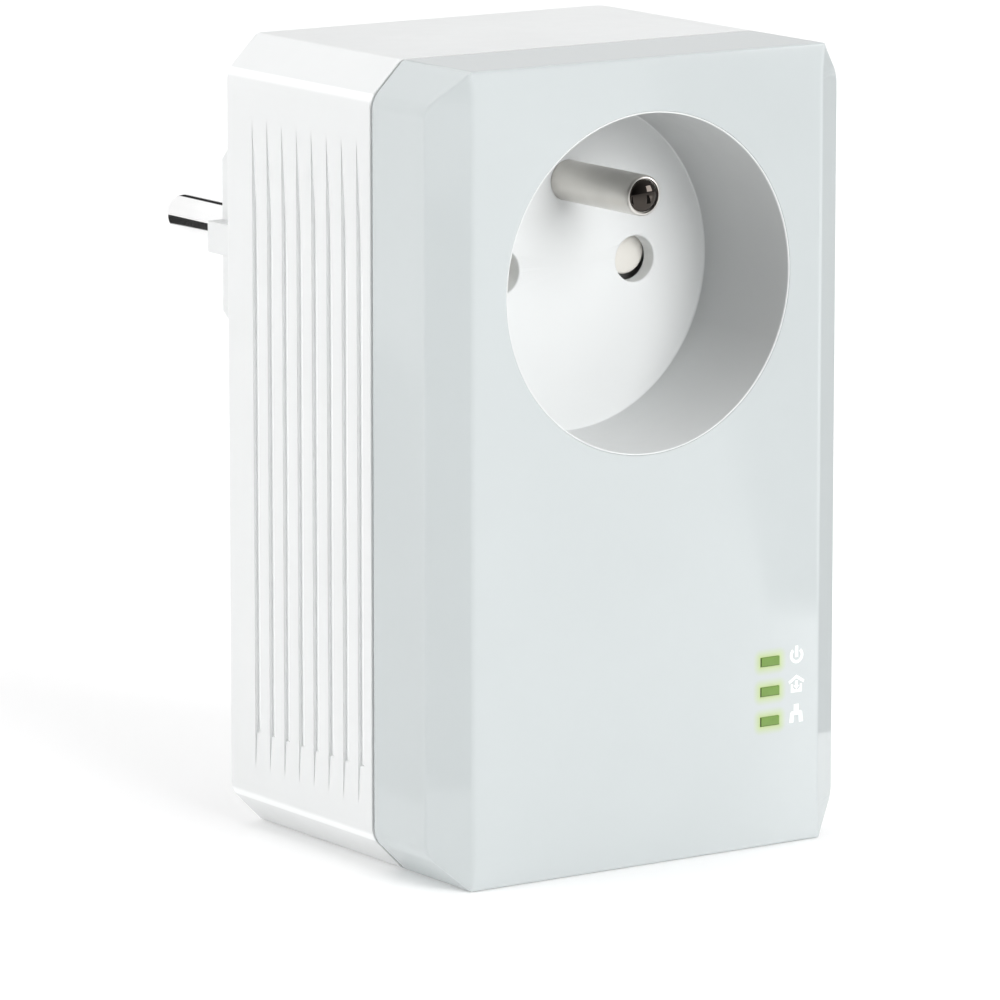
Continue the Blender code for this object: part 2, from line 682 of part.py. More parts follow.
def make_shutter_spring(finish):
    """The torsion spring that returns the shutter: a coil round the post, with two legs."""
    start = SHUTTER_Y + SHUTTER_THICK + GAP + SPRING_WIRE / 2
    end = HOLDER_Y - GAP - SPRING_WIRE / 2
    count = int(SPRING_TURNS * 14)
    leg = 3.2 * MM
    points = []
    for i in range(count + 1):
        share = i / count
        turn = 2 * math.pi * SPRING_TURNS * share
        x = SPRING_RADIUS * math.cos(turn)
        z = SPRING_RADIUS * math.sin(turn)
        points.append((x, start + (end - start) * share, SOCKET_Z + z))
    first = (points[0][0], points[0][1], points[0][2] - leg)
    last_turn = 2 * math.pi * SPRING_TURNS
    last = (points[-1][0] - leg * math.sin(last_turn), points[-1][1],
            points[-1][2] + leg * math.cos(last_turn))
    return make_wire("shutter_spring", [first] + points + [last], SPRING_WIRE, finish["steel"], 1)


def make_wire(name, points, diameter, finish, roundness=2):
    """A round wire through points, with closed ends."""
    curve = bpy.data.curves.new(name, "CURVE")
    curve.dimensions = "3D"
    curve.bevel_depth = diameter / 2
    curve.bevel_resolution = roundness
    curve.use_fill_caps = True
    spline = curve.splines.new("POLY")
    spline.points.add(len(points) - 1)
    for point, place in zip(spline.points, points):
        point.co = (*place, 1.0)
    curve.materials.append(finish)
    wire = bpy.data.objects.new(name, curve)
    bpy.context.scene.collection.objects.link(wire)
    return wire


def make_contact_holder(finish):
    """The moulding behind the shutter that holds the two spring contacts and the earth pin."""
    low = (-HOLDER_HALF_WIDTH, HOLDER_Y, SOCKET_Z - HOLDER_BELOW)
    high = (HOLDER_HALF_WIDTH, HOLDER_END_Y - GAP, SOCKET_Z + HOLDER_ABOVE)
    holder = simple("contact_holder", finish["white"], (low, high))
    post = bmesh.new()
    add_rod(post, "Y", (0.0, SOCKET_Z), [(SHUTTER_Y, POST_RADIUS), (HOLDER_Y + WALL, POST_RADIUS)])
    combine(holder, tool("join_post", post), "UNION")
    bores = bmesh.new()
    through = (HOLDER_Y - WALL, HOLDER_END_Y + WALL)
    for x in (-HOLE_X, HOLE_X):
        radius = PIN_RADIUS + SNUG + CONTACT_WALL + GAP
        add_rod(bores, "Y", (x, SOCKET_Z), [(y, radius) for y in through])
    add_rod(bores, "Y", (0.0, EARTH_Z), [(y, PIN_RADIUS + GAP) for y in through])
    combine(holder, tool("cut_holder_bores", bores), "DIFFERENCE")
    return holder


def make_contact(name, x, finish):
    """A split sleeve that grips a plug pin."""
    inner = PIN_RADIUS + SNUG
    outer = inner + CONTACT_WALL
    low, high = HOLDER_Y + GAP, HOLDER_END_Y - 2 * GAP
    opening = math.radians(18)
    steps = 18
    turns = [opening + (2 * math.pi - 2 * opening) * i / steps for i in range(steps + 1)]
    outline = [(x + outer * math.cos(t), SOCKET_Z + outer * math.sin(t)) for t in turns]
    outline += [(x + inner * math.cos(t), SOCKET_Z + inner * math.sin(t)) for t in reversed(turns)]
    body = bmesh.new()
    add_prism(body, outline, "Y", low, high)
    return finished(name, body, finish["brass"])


def make_busbar(name, x, finish):
    """A brass strip that joins a socket contact to a plug pin and runs down to its lead."""
    half = 3.0 * MM
    tail = 1.5 * MM
    top, neck, bottom = SOCKET_Z + 3.5 * MM, PLUG_Z - 5.5 * MM, BUSBAR_END_Z
    outline = [(x - half, neck), (x - tail, neck - half), (x - tail, bottom), (x + tail, bottom),
               (x + tail, neck - half), (x + half, neck), (x + half, top), (x - half, top)]
    body = bmesh.new()
    add_prism(body, outline, "Y", BUSBAR_Y, BUSBAR_Y + BUSBAR_THICK)
    return finished(name, body, finish["brass"])


def make_earth_strap(finish):
    """The strip that joins the socket's earth pin to the plug's earth sleeve."""
    low = (-3.4 * MM, BUSBAR_Y, PLUG_EARTH_Z - PIN_RADIUS)
    high = (3.4 * MM, BUSBAR_Y + BUSBAR_THICK, EARTH_Z + PIN_RADIUS)
    return simple("earth_strap", finish["steel"], (low, high))


# ---------------------------------------------------------------- wall plug

def clip_floor():
    """Distance of the clip recess's floor from the plug's axis."""
    return PLUG_RADIUS - CLIP_THICK - CLIP_BOW - 2 * GAP


def make_plug_body(finish):
    """The moulded plug: a flange inside the housing, a body with flat sides, ribs and bores."""
    body = bmesh.new()
    add_prism(body, plug_outline(PLUG_FLANGE), "Y", FLANGE_Y, FLANGE_Y + FLANGE_THICK)
    plug = finished("plug_body", body, finish["white"])
    boss = bmesh.new()
    add_prism(boss, plug_outline(0.0), "Y", FLANGE_Y + FLANGE_THICK / 2, PLUG_END_Y)
    combine(plug, tool("join_plug_boss", boss), "UNION")
    ribs = bmesh.new()
    add_ribs(ribs, 0.0)
    combine(plug, tool("join_plug_ribs", ribs), "UNION")
    holes = bmesh.new()
    through = (FLANGE_Y - WALL, PLUG_END_Y + WALL)
    for x in (-HOLE_X, HOLE_X):
        add_rod(holes, "Y", (x, PLUG_Z), [(y, PIN_RADIUS + SNUG) for y in through])
    sleeve = PIN_RADIUS + SNUG + CONTACT_WALL + GAP
    add_rod(holes, "Y", (0.0, PLUG_EARTH_Z), [(y, sleeve) for y in through])
    for side in (-1, 1):
        ends = sorted((PLUG_Z + side * clip_floor(), PLUG_Z + side * (PLUG_RADIUS + WALL)))
        half = CLIP_WIDTH / 2 + GAP
        low = (-half, PLUG_END_Y - CLIP_LENGTH - GAP, ends[0])
        add_box(holes, low, (half, PLUG_END_Y + WALL, ends[1]))
    combine(plug, tool("cut_plug_holes", holes), "DIFFERENCE")
    return plug


def make_plug_pin(name, x, finish):
    """A round plug pin with a rounded end."""
    body = bmesh.new()
    steps = [(PIN_START_Y, PIN_RADIUS)] + pin_tip(PIN_END_Y, -1)[::-1]
    add_rod(body, "Y", (x, PLUG_Z), steps, 24)
    return finished(name, body, finish["chrome"])


def make_earth_clip(name, side, finish):
    """A bowed side contact in its recess on the plug."""
    seat = clip_floor() + GAP
    start, length = PLUG_END_Y - CLIP_LENGTH, CLIP_LENGTH - GAP
    steps = 10
    arc = []
    for i in range(steps + 1):
        share = i / steps
        arc.append((start + length * share, seat + CLIP_BOW * math.sin(math.pi * share)))
    outline = arc + [(y, r + CLIP_THICK) for y, r in reversed(arc)]
    outline = [(y, PLUG_Z + side * r) for y, r in outline]
    body = bmesh.new()
    add_prism(body, outline, "X", -CLIP_WIDTH / 2, CLIP_WIDTH / 2)
    return finished(name, body, finish["nickel"])


def make_earth_sleeve(finish):
    """The sleeve in the plug that takes a wall socket's earth pin."""
    inner = PIN_RADIUS + SNUG
    body = bmesh.new()
    ends = (PIN_START_Y, PLUG_END_Y - 1.0 * MM)
    add_tube(body, "Y", (0.0, PLUG_EARTH_Z), *ends, inner + CONTACT_WALL, inner, 24)
    return finished("plug_earth_sleeve", body, finish["brass"])


# ---------------------------------------------------------------- board and its parts

def make_main_board(finish):
    """The circuit board, notched round the two lower screw posts."""
    notch_x = SCREW_X - POST_OUTER - 2 * GAP
    notch_z = SCREW_Z[0] + POST_OUTER + 2 * GAP
    side = BOARD_HALF_WIDTH
    outline = [(-notch_x, BOARD_BOTTOM), (notch_x, BOARD_BOTTOM), (notch_x, notch_z),
               (side, notch_z), (side, BOARD_TOP), (-side, BOARD_TOP), (-side, notch_z),
               (-notch_x, notch_z)]
    body = bmesh.new()
    add_prism(body, outline, "Y", BOARD_Y, BOARD_BACK_Y)
    return finished("main_board", body, finish["board"])


def make_lights(finish):
    """Three lamps on the board, and a clear pipe from each to its window."""
    lamp = (2.0 * MM, 0.8 * MM, 1.2 * MM)
    for name, z in light_places():
        low = (LIGHT_X - lamp[0] / 2, CHIPS_Y - lamp[1], z - lamp[2] / 2)
        simple("led_" + name, finish["lamp"], (low, (LIGHT_X + lamp[0] / 2, CHIPS_Y, z + lamp[2] / 2)))
        half_x, half_z = LIGHT_WIDTH / 2, LIGHT_HEIGHT / 2
        start = CHIPS_Y - lamp[1] - GAP
        low = (LIGHT_X - half_x, FRONT_Y + SNUG, z - half_z)
        simple("light_pipe_" + name, finish["clear"], (low, (LIGHT_X + half_x, start, z + half_z)))


def make_jack(finish):
    """The network jack: a box open downwards, with a latch slot, and its row of contacts."""
    jack = simple("ethernet_jack", finish["black"], jack_box(0.0))
    hollow = bmesh.new()
    half = PORT_WIDTH / 2
    latch = LATCH_WIDTH / 2
    front, back = PORT_Y, PORT_Y + PORT_DEPTH
    outline = [(-half, front), (half, front), (half, back), (latch, back),
               (latch, back + LATCH_DEPTH), (-latch, back + LATCH_DEPTH), (-latch, back), (-half, back)]
    outline = [(JACK_X + x, y) for x, y in outline]
    add_prism(hollow, outline, "Z", -WALL, PORT_HEIGHT)
    combine(jack, tool("cut_port", hollow), "DIFFERENCE")

    wire = 0.45 * MM
    pitch = 1.02 * MM
    bar_top = PORT_HEIGHT - GAP
    low = (JACK_X - 4.6 * MM, PORT_Y + GAP, bar_top - 2.0 * MM)
    high = (JACK_X + 4.6 * MM, PORT_Y + 1.6 * MM, bar_top)
    insert = simple("jack_contacts", finish["brass"], (low, high))
    wires = bmesh.new()
    for i in range(8):
        x = JACK_X + (i - 3.5) * pitch
        outline = [(PORT_Y + 0.6 * MM, bar_top - 1.0 * MM), (PORT_Y + 1.1 * MM, bar_top - 1.0 * MM),
                   (PORT_Y + 2.2 * MM, 5.5 * MM), (PORT_Y + 1.7 * MM, 5.2 * MM)]
        add_prism(wires, outline, "X", x - wire / 2, x + wire / 2)
    combine(insert, tool("join_jack_wires", wires), "UNION")


def make_pair_button(finish):
    """The recessed button under the adapter; it slides up against the switch's plunger."""
    flange_z = WALL + GAP
    top = flange_z + BUTTON_FLANGE
    steps = [(BUTTON_SETBACK, BUTTON_RADIUS - GAP), (BUTTON_SETBACK + GAP, BUTTON_RADIUS),
             (flange_z, BUTTON_RADIUS), (flange_z, BUTTON_RADIUS + BUTTON_FLANGE),
             (top, BUTTON_RADIUS + BUTTON_FLANGE), (top, PLUNGER_RADIUS),
             (top + BUTTON_STEM, PLUNGER_RADIUS)]
    body = bmesh.new()
    add_rod(body, "Z", (0.0, 0.0), steps, 24)
    button = finished("pair_button", body, finish["white"])
    button.location = (BUTTON_X, BUTTON_Y, 0.0)

    plunger_z = top + BUTTON_STEM + GAP
    switch_z = plunger_z + PLUNGER_REACH
    body = bmesh.new()
    add_rod(body, "Z", (0.0, 0.0), [(0.0, PLUNGER_RADIUS), (PLUNGER_LENGTH, PLUNGER_RADIUS)])
    plunger = finished("tact_switch_plunger", body, finish["cream"])
    plunger.location = (BUTTON_X, BUTTON_Y, plunger_z)

    half = SWITCH_SIDE / 2
    low = (BUTTON_X - half, PARTS_Y, switch_z)
    high = (BUTTON_X + half, BUTTON_Y + half, switch_z + SWITCH_HEIGHT)
    switch = simple("tact_switch_body", finish["black"], (low, high))
    bore = bmesh.new()
    steps = [(switch_z - WALL, PLUNGER_RADIUS + GAP), (switch_z + PLUNGER_LENGTH, PLUNGER_RADIUS + GAP)]
    add_rod(bore, "Z", (BUTTON_X, BUTTON_Y), steps)
    combine(switch, tool("cut_switch_bore", bore), "DIFFERENCE")


def make_transformer(finish):
    """The supply transformer: a two-window core, and a winding round its middle leg."""
    half_x, half_y, half_z = (side / 2 for side in CORE_SIZE)
    core_y = PARTS_Y + half_y + WINDING_BULGE + GAP
    low = (-half_x, core_y - half_y, CORE_Z - half_z)
    core = simple("transformer_core", finish["ferrite"], (low, (half_x, core_y + half_y, CORE_Z + half_z)))
    windows = bmesh.new()
    for side in (-1, 1):
        ends = sorted((side * CORE_LEG, side * CORE_WINDOW))
        low = (ends[0], core_y - 2 * half_y, CORE_Z - CORE_WINDOW_HALF)
        add_box(windows, low, (ends[1], core_y + 2 * half_y, CORE_Z + CORE_WINDOW_HALF))
    combine(core, tool("cut_core_windows", windows), "DIFFERENCE")

    outer = (CORE_WINDOW - GAP, half_y + WINDING_BULGE)
    inner = (CORE_LEG + GAP, half_y + GAP)
    bottom = CORE_Z - CORE_WINDOW_HALF + GAP
    top = CORE_Z + CORE_WINDOW_HALF - GAP
    body = bmesh.new()
    rings = []
    for level, (a, b) in ((bottom, outer), (top, outer), (top, inner), (bottom, inner)):
        corners = ((-a, -b), (a, -b), (a, b), (-a, b))
        rings.append([body.verts.new((x, core_y + y, level)) for x, y in corners])
    add_bands(body, rings + rings[:1])
    finished("transformer_winding", body, finish["yellow"])


def make_choke(finish):
    """The mains filter choke: a ring core, with a sleeve round part of it for the winding."""
    gap = GAP
    y = PARTS_Y + CHOKE_HALF + gap + CHOKE_COPPER
    body = bmesh.new()
    add_tube(body, "Y", CHOKE_PLACE, y - CHOKE_HALF, y + CHOKE_HALF, CHOKE_OUTER, CHOKE_INNER, 24)
    finished("choke_core", body, finish["ferrite"])

    # The sleeve's cross-section is a frame round the core's, carried round part of a turn.
    frames = []
    for extra in (gap + CHOKE_COPPER, gap):
        near, far, half = CHOKE_INNER - extra, CHOKE_OUTER + extra, CHOKE_HALF + extra
        frames.append(((near, -half), (far, -half), (far, half), (near, half)))
    steps, reach = 12, math.radians(75)
    body = bmesh.new()
    stations = [[], []]
    for i in range(steps + 1):
        turn = reach * (2 * i / steps - 1)
        for kind, frame in enumerate(frames):
            ring = [(CHOKE_PLACE[0] + r * math.cos(turn), y + b, CHOKE_PLACE[1] + r * math.sin(turn))
                    for r, b in frame]
            stations[kind].append([body.verts.new(point) for point in ring])
    for kind in (0, 1):
        add_bands(body, stations[kind])
    for end in (0, -1):
        add_bands(body, [stations[0][end], stations[1][end]])
    finished("choke_winding", body, finish["copper"])


def make_power_parts(finish):
    """The parts of the mains supply, on the board's wall side."""
    steps = [(BULK_Z, BULK_RADIUS - GAP), (BULK_Z + GAP, BULK_RADIUS),
             (BULK_Z + BULK_HEIGHT - GAP, BULK_RADIUS), (BULK_Z + BULK_HEIGHT, BULK_RADIUS - GAP)]
    body = bmesh.new()
    add_rod(body, "Z", (BULK_X, PARTS_Y + BULK_RADIUS), steps, 24)
    finished("bulk_capacitor", body, finish["can"])

    # name, finish, x, distance below the board's top, width, depth, height
    boxes = (
        ("x2_capacitor", "yellow", -3.0, 7.0, 6.0, 11.0, 12.0),
        ("bridge_rectifier", "black", 5.0, 7.5, 4.5, 3.2, 9.0),
    )
    for name, look, x, below, width, depth, height in boxes:
        size = (width * MM, depth * MM, height * MM)
        simple(name, finish[look], box_at(x * MM, PARTS_Y, BOARD_TOP - below * MM, size))

    # name, x, z, radius, thickness
    discs = (("varistor", -14.0 * MM, BOARD_TOP - 6.2 * MM, 4.5 * MM, 3.4 * MM),
             ("y_capacitor", 14.0 * MM, 22.0 * MM, 3.2 * MM, 2.4 * MM))
    for name, x, z, radius, thick in discs:
        half = thick / 2
        steps = [(x - half, radius - DISC_RIM), (x - half + DISC_RIM, radius),
                 (x + half - DISC_RIM, radius), (x + half, radius - DISC_RIM)]
        body = bmesh.new()
        add_rod(body, "X", (PARTS_Y + radius, z), steps, 24)
        finished(name, body, finish["blue"])

    body = bmesh.new()
    steps = [(FUSE_Z, FUSE_RADIUS), (FUSE_Z + FUSE_LENGTH, FUSE_RADIUS)]
    add_rod(body, "Z", (FUSE_X, PARTS_Y + FUSE_RADIUS), steps)
    finished("fuse", body, finish["glass"])

    steps = [(PARTS_Y, CAN_RADIUS), (PARTS_Y + CAN_HEIGHT - GAP, CAN_RADIUS),
             (PARTS_Y + CAN_HEIGHT, CAN_RADIUS - GAP)]
    body = bmesh.new()
    add_rod(body, "Y", (CAN_X, CAN_Z), steps, 24)
    finished("output_capacitor", body, finish["can"])


def make_signal_parts(finish):
    """The network parts, on the board's front side."""
    # name, finish, x, z, width, height, depth
    parts = (
        ("powerline_chip", "black", -2.0 * MM, 20.0 * MM, 12.0 * MM, 12.0 * MM, 1.4 * MM),
        ("memory_chip", "black", -15.0 * MM, 23.0 * MM, 6.0 * MM, 5.0 * MM, 1.0 * MM),
        ("coupling_transformer", "ferrite", -15.0 * MM, BOARD_TOP - 10 * MM, 10 * MM, 9 * MM, 8 * MM),
        ("ethernet_magnetics", "black", -10.0 * MM, 8.2 * MM, 12.0 * MM, 7.0 * MM, 5.0 * MM),
        ("crystal", "steel", 8.0 * MM, 12.0 * MM, 4.5 * MM, 3.2 * MM, 2.2 * MM),
    )
    for name, look, x, z, width, height, depth in parts:
        simple(name, finish[look], box_at(x, CHIPS_Y - depth, z, (width, depth, height)))

    make_heat_sink(finish, parts[0])


def make_heat_sink(finish, chip):
    """The heat sink on the powerline chip: a base with fins."""
    _, _, x, z, _, height, depth = chip
    seat = CHIPS_Y - depth - GAP
    pitch = (2 * SINK_HALF - SINK_FIN) / (SINK_FINS - 1)
    outline = [(-SINK_HALF, seat), (SINK_HALF, seat)]
    for i in reversed(range(SINK_FINS)):
        left = -SINK_HALF + i * pitch
        fin = [(left + SINK_FIN, seat - SINK_TALL), (left, seat - SINK_TALL)]
        if i < SINK_FINS - 1:
            outline.append((left + SINK_FIN, seat - SINK_BASE))
        outline += fin
        if i > 0:
            outline.append((left, seat - SINK_BASE))
    outline = [(x + a, b) for a, b in outline]
    body = bmesh.new()
    add_prism(body, outline, "Z", z - height / 2, z + height / 2)
    finished("heat_sink", body, finish["heat"])


def make_sheet_and_leads(finish):
    """The insulating sheet over the board, and the two mains leads that pass its notches."""
    half_notch = 1.8 * MM
    front, back = BUSBAR_Y - SHEET_DEPTH / 2, BUSBAR_Y + SHEET_DEPTH / 2
    inner = BUSBAR_Y - 5.5 * MM
    outline = [(-SHEET_HALF_WIDTH, front), (SHEET_HALF_WIDTH, front), (SHEET_HALF_WIDTH, back)]
    for x in (HOLE_X, -HOLE_X):
        outline += [(x + half_notch, back), (x + half_notch, inner), (x - half_notch, inner),
                    (x - half_notch, back)]
    outline.append((-SHEET_HALF_WIDTH, back))
    body = bmesh.new()
    add_prism(body, outline, "Z", SHEET_Z, SHEET_Z + SHEET_THICK)
    finished("insulating_sheet", body, finish["sheet"])

    top = BUSBAR_END_Z - GAP
    y = BUSBAR_Y + BUSBAR_THICK / 2
    for name, x, look in (("line_lead", -HOLE_X, "brown"), ("neutral_lead", HOLE_X, "blue_wire")):
        landing = BOARD_TOP - LEAD_LANDING
        points = []
        for i in range(9):
            share = i / 8
            turn = math.pi / 2 * share
            along = PARTS_Y + (y - PARTS_Y) * math.cos(turn) ** 1.5
            points.append((x, along, top + (landing - top) * math.sin(turn) ** 1.5))
        make_wire(name, points, LEAD_DIAMETER, finish[look])


def make_label(finish):
    """The blank rating label in its pocket on the wall side."""
    low = (-LABEL_HALF_WIDTH, BACK_Y - LABEL_THICK, LABEL_BOTTOM)
    simple("rating_label", finish["paper"], (low, (LABEL_HALF_WIDTH, BACK_Y, LABEL_TOP)))


def cross_outline(place, long, thin):
    """A plus sign about a place, with arms of the given length and half-width."""
    quarter = [(thin, thin), (thin, long), (-thin, long)]
    points = []
    for _ in range(4):
        points += quarter
        quarter = [(-z, x) for x, z in quarter]
    return [(place[0] + x, place[1] + z) for x, z in points]


def make_screws(finish):
    """Four case screws, driven from the wall side."""
    under = SCREW_HEAD_Y - SCREW_HEAD_HEIGHT
    tip = under - SCREW_LENGTH
    steps = [(tip, SCREW_RADIUS * 0.6), (tip + SCREW_RADIUS, SCREW_RADIUS), (under, SCREW_RADIUS),
             (under, SCREW_HEAD_RADIUS), (SCREW_HEAD_Y - GAP, SCREW_HEAD_RADIUS),
             (SCREW_HEAD_Y, SCREW_HEAD_RADIUS - GAP)]
    for number, place in enumerate(screw_places(), 1):
        body = bmesh.new()
        add_rod(body, "Y", place, steps, 16)
        screw = finished("housing_screw_%d" % number, body, finish["steel"])
        cross = bmesh.new()
        outline = cross_outline(place, SCREW_HEAD_RADIUS * 0.65, CROSS_HALF_WIDTH)
        add_prism(cross, outline, "Y", SCREW_HEAD_Y - CROSS_DEPTH, SCREW_HEAD_Y + CROSS_DEPTH)
        combine(screw, tool("cut_cross_%d" % number, cross), "DIFFERENCE")


def clear_scene():
    """Removes every object of the scene."""
    for old in list(bpy.data.objects):
        bpy.data.objects.remove(old, do_unlink=True)


def main():
    """Builds the adapter."""
    clear_scene()
    finish = make_materials()
    make_front_cover(finish)
    make_rear_housing(finish)
    make_socket_well(finish)
    make_socket_earth_pin(finish)
    make_shutter(finish)
    make_shutter_spring(finish)
    make_contact_holder(finish)
    make_contact("line_contact", -HOLE_X, finish)
    make_contact("neutral_contact", HOLE_X, finish)
    make_busbar("line_busbar", -HOLE_X, finish)
    make_busbar("neutral_busbar", HOLE_X, finish)
    make_earth_strap(finish)
    make_plug_body(finish)
    make_plug_pin("line_plug_pin", -HOLE_X, finish)
    make_plug_pin("neutral_plug_pin", HOLE_X, finish)
    make_earth_clip("upper_earth_clip", 1, finish)
    make_earth_clip("lower_earth_clip", -1, finish)
    make_earth_sleeve(finish)
    make_main_board(finish)
    make_lights(finish)
    make_jack(finish)
    make_pair_button(finish)
    make_transformer(finish)
    make_choke(finish)
    make_power_parts(finish)
    make_signal_parts(finish)
    make_sheet_and_leads(finish)
    make_label(finish)
    make_screws(finish)


if __name__ == "__main__":
    main()
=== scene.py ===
import json
import math

import bmesh
import bpy
import numpy as np
from bpy.props import FloatProperty, FloatVectorProperty, PointerProperty
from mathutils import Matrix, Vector

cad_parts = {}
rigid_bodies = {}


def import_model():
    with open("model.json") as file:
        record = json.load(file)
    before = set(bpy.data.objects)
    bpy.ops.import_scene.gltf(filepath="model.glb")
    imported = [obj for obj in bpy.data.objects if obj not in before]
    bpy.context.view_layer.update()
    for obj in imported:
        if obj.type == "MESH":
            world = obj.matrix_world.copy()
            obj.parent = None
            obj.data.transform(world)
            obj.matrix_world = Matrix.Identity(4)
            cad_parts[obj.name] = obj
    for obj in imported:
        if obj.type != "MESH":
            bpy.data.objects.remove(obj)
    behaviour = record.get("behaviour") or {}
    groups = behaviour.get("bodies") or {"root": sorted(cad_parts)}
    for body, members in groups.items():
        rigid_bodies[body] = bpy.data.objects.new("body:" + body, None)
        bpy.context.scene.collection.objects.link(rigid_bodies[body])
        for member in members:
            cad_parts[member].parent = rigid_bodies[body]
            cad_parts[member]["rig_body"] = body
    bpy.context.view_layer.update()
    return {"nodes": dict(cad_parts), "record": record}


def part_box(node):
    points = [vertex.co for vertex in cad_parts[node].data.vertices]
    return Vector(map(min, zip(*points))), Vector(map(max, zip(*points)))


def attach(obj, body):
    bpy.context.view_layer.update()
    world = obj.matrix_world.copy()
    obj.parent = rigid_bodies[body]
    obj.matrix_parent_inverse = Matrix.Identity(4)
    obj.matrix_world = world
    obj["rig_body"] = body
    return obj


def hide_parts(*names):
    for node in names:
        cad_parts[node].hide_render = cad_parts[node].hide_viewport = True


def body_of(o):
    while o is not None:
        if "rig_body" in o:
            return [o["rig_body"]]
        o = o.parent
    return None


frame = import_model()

bl_info = {
    "name": "Pass-through adapter looks",
    "version": (1, 0, 0),
    "blender": (4, 5, 0),
    "location": "View3D > Sidebar > Adapter",
    "description": "Fine surfaces, finishes and stage of a plug-in adapter with a pass-through socket",
    "category": "Object",
}

MM = 0.001

# Places, read from the frame
COVER_LOW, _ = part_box("front_cover")
_, HOUSING_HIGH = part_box("rear_housing")
WELL_LOW, WELL_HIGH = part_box("socket_well")
EARTH_LOW, EARTH_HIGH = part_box("socket_earth_pin")
SHUTTER_LOW, SHUTTER_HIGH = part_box("socket_shutter")
PIN_LOW, PIN_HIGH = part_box("neutral_plug_pin")
JACK_LOW, JACK_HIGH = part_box("ethernet_jack")
BUTTON_LOW, BUTTON_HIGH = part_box("pair_button")
LABEL_LOW, LABEL_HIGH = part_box("rating_label")

HALF_WIDTH = HOUSING_HIGH.x
HEIGHT = HOUSING_HIGH.z
FRONT_Y = COVER_LOW.y
BACK_Y = HOUSING_HIGH.y
SOCKET_Z = (WELL_LOW.z + WELL_HIGH.z) / 2
WELL_OUTER = WELL_HIGH.x
EARTH_RADIUS = (EARTH_HIGH.x - EARTH_LOW.x) / 2
EARTH_Z = (EARTH_LOW.z + EARTH_HIGH.z) / 2
PIN_RADIUS = (PIN_HIGH.x - PIN_LOW.x) / 2
HOLE_X = (PIN_LOW.x + PIN_HIGH.x) / 2
PLUG_Z = (PIN_LOW.z + PIN_HIGH.z) / 2

# Sizes that repeat the frame's own
SEAM_Y = FRONT_Y + 14.0 * MM
SEAM_GAP = 0.3 * MM
GAP = 0.3 * MM
WALL = 2.0 * MM
TONGUE_WALL = 1.0 * MM
TONGUE_LENGTH = 1.5 * MM
CORNER = 4.2 * MM
SOFT_RADIUS = 3.0 * MM
EDGE_WIDTH = 4.5 * MM
EDGE_DEPTH = 3.2 * MM
WELL_RADIUS = 19.6 * MM
WELL_DRAFT = 0.2 * MM
WELL_DEPTH = 16.5 * MM
FLOOR_THICK = 2.0 * MM
HOLE_RADIUS = 2.7 * MM
GROOVE_COUNT = 8
GROOVE_PITCH = 3.17 * MM
POST_OUTER = 3.1 * MM
BOSS_OUTER = 4.2 * MM
BOSS_LENGTH = 11.8 * MM
SHAFT_HOLE = 1.6 * MM
HEAD_HOLE = 3.0 * MM
HEAD_SEAT = 10.1 * MM
PLUG_RADIUS = 17.6 * MM
PLUG_FLAT = 15.0 * MM
RIB_REACH = 17.1 * MM
RIB_HEIGHT = 3.8 * MM
BUTTON_RADIUS = 2.5 * MM
WINDOWS = ("power", "home", "network")

# Sizes of the finer surfaces, some of them closer than the frame's clearances
WELL_LIP = 0.2 * MM
RIM_GAP = 0.02 * MM
LENS_PROUD = 0.3 * MM
GROOVE_FROM_BACK = 5.65 * MM
CHAMFER = 0.3 * MM
POLE = 0.02 * MM
# Reach and colour of the windows' green light, painted into the cover round each window
PAINTED_GLOW_REACH = 1.1 * MM
PAINTED_GLOW_COLOUR = (0.46, 0.58, 0.20)


# ---- settings

class AdapterSizes(bpy.types.PropertyGroup):
    """Sizes of the fine shapes that a user would change."""

    edge_round: FloatProperty(
        name="Edge rounding", description="Rounding of the shells' outer edges",
        default=0.3 * MM, unit="LENGTH")
    face_flare: FloatProperty(
        name="Face flare", description="Height over which the front face widens into each corner",
        default=4.2 * MM, unit="LENGTH")
    groove_width: FloatProperty(
        name="Groove width", description="Width of a side groove where it is widest",
        default=1.1 * MM, unit="LENGTH")
    groove_depth: FloatProperty(
        name="Groove depth", description="Depth of a side groove",
        default=0.45 * MM, unit="LENGTH")
    groove_full: FloatProperty(
        name="Groove full height", description="Height at which a groove reaches its full width",
        default=69.0 * MM, unit="LENGTH")
    groove_top: FloatProperty(
        name="Groove top", description="Height at which a groove starts as a hairline",
        default=85.2 * MM, unit="LENGTH")
    groove_step: FloatProperty(
        name="Groove step", description="Height of the square step near a groove's lower end",
        default=12.2 * MM, unit="LENGTH")
    groove_end: FloatProperty(
        name="Groove end", description="Height at which the hairline below the step runs out",
        default=7.4 * MM, unit="LENGTH")
    floor_fillet: FloatProperty(
        name="Well fillet", description="Rounding between the well's wall and floor",
        default=0.2 * MM, unit="LENGTH")
    print_height: FloatProperty(
        name="Symbol height", description="Height of a printed symbol",
        default=2.1 * MM, unit="LENGTH")


class AdapterColours(bpy.types.PropertyGroup):
    """Colours that a user would change."""

    cover: FloatVectorProperty(
        name="Cover", description="Glossy front cover", subtype="COLOR", size=3,
        default=(0.53, 0.565, 0.57), min=0.0, max=1.0)
    housing: FloatVectorProperty(
        name="Housing", description="Matte wall-side shell and plug", subtype="COLOR", size=3,
        default=(0.725, 0.735, 0.735), min=0.0, max=1.0)
    well: FloatVectorProperty(
        name="Socket well", description="Satin cup of the socket", subtype="COLOR", size=3,
        default=(0.76, 0.775, 0.775), min=0.0, max=1.0)
    shutter: FloatVectorProperty(
        name="Shutter", description="Cream shutter behind the contact holes", subtype="COLOR", size=3,
        default=(0.79, 0.77, 0.72), min=0.0, max=1.0)
    lamp: FloatVectorProperty(
        name="Indicator", description="Lit indicator window", subtype="COLOR", size=3,
        default=(0.13, 0.235, 0.04), min=0.0, max=1.0)


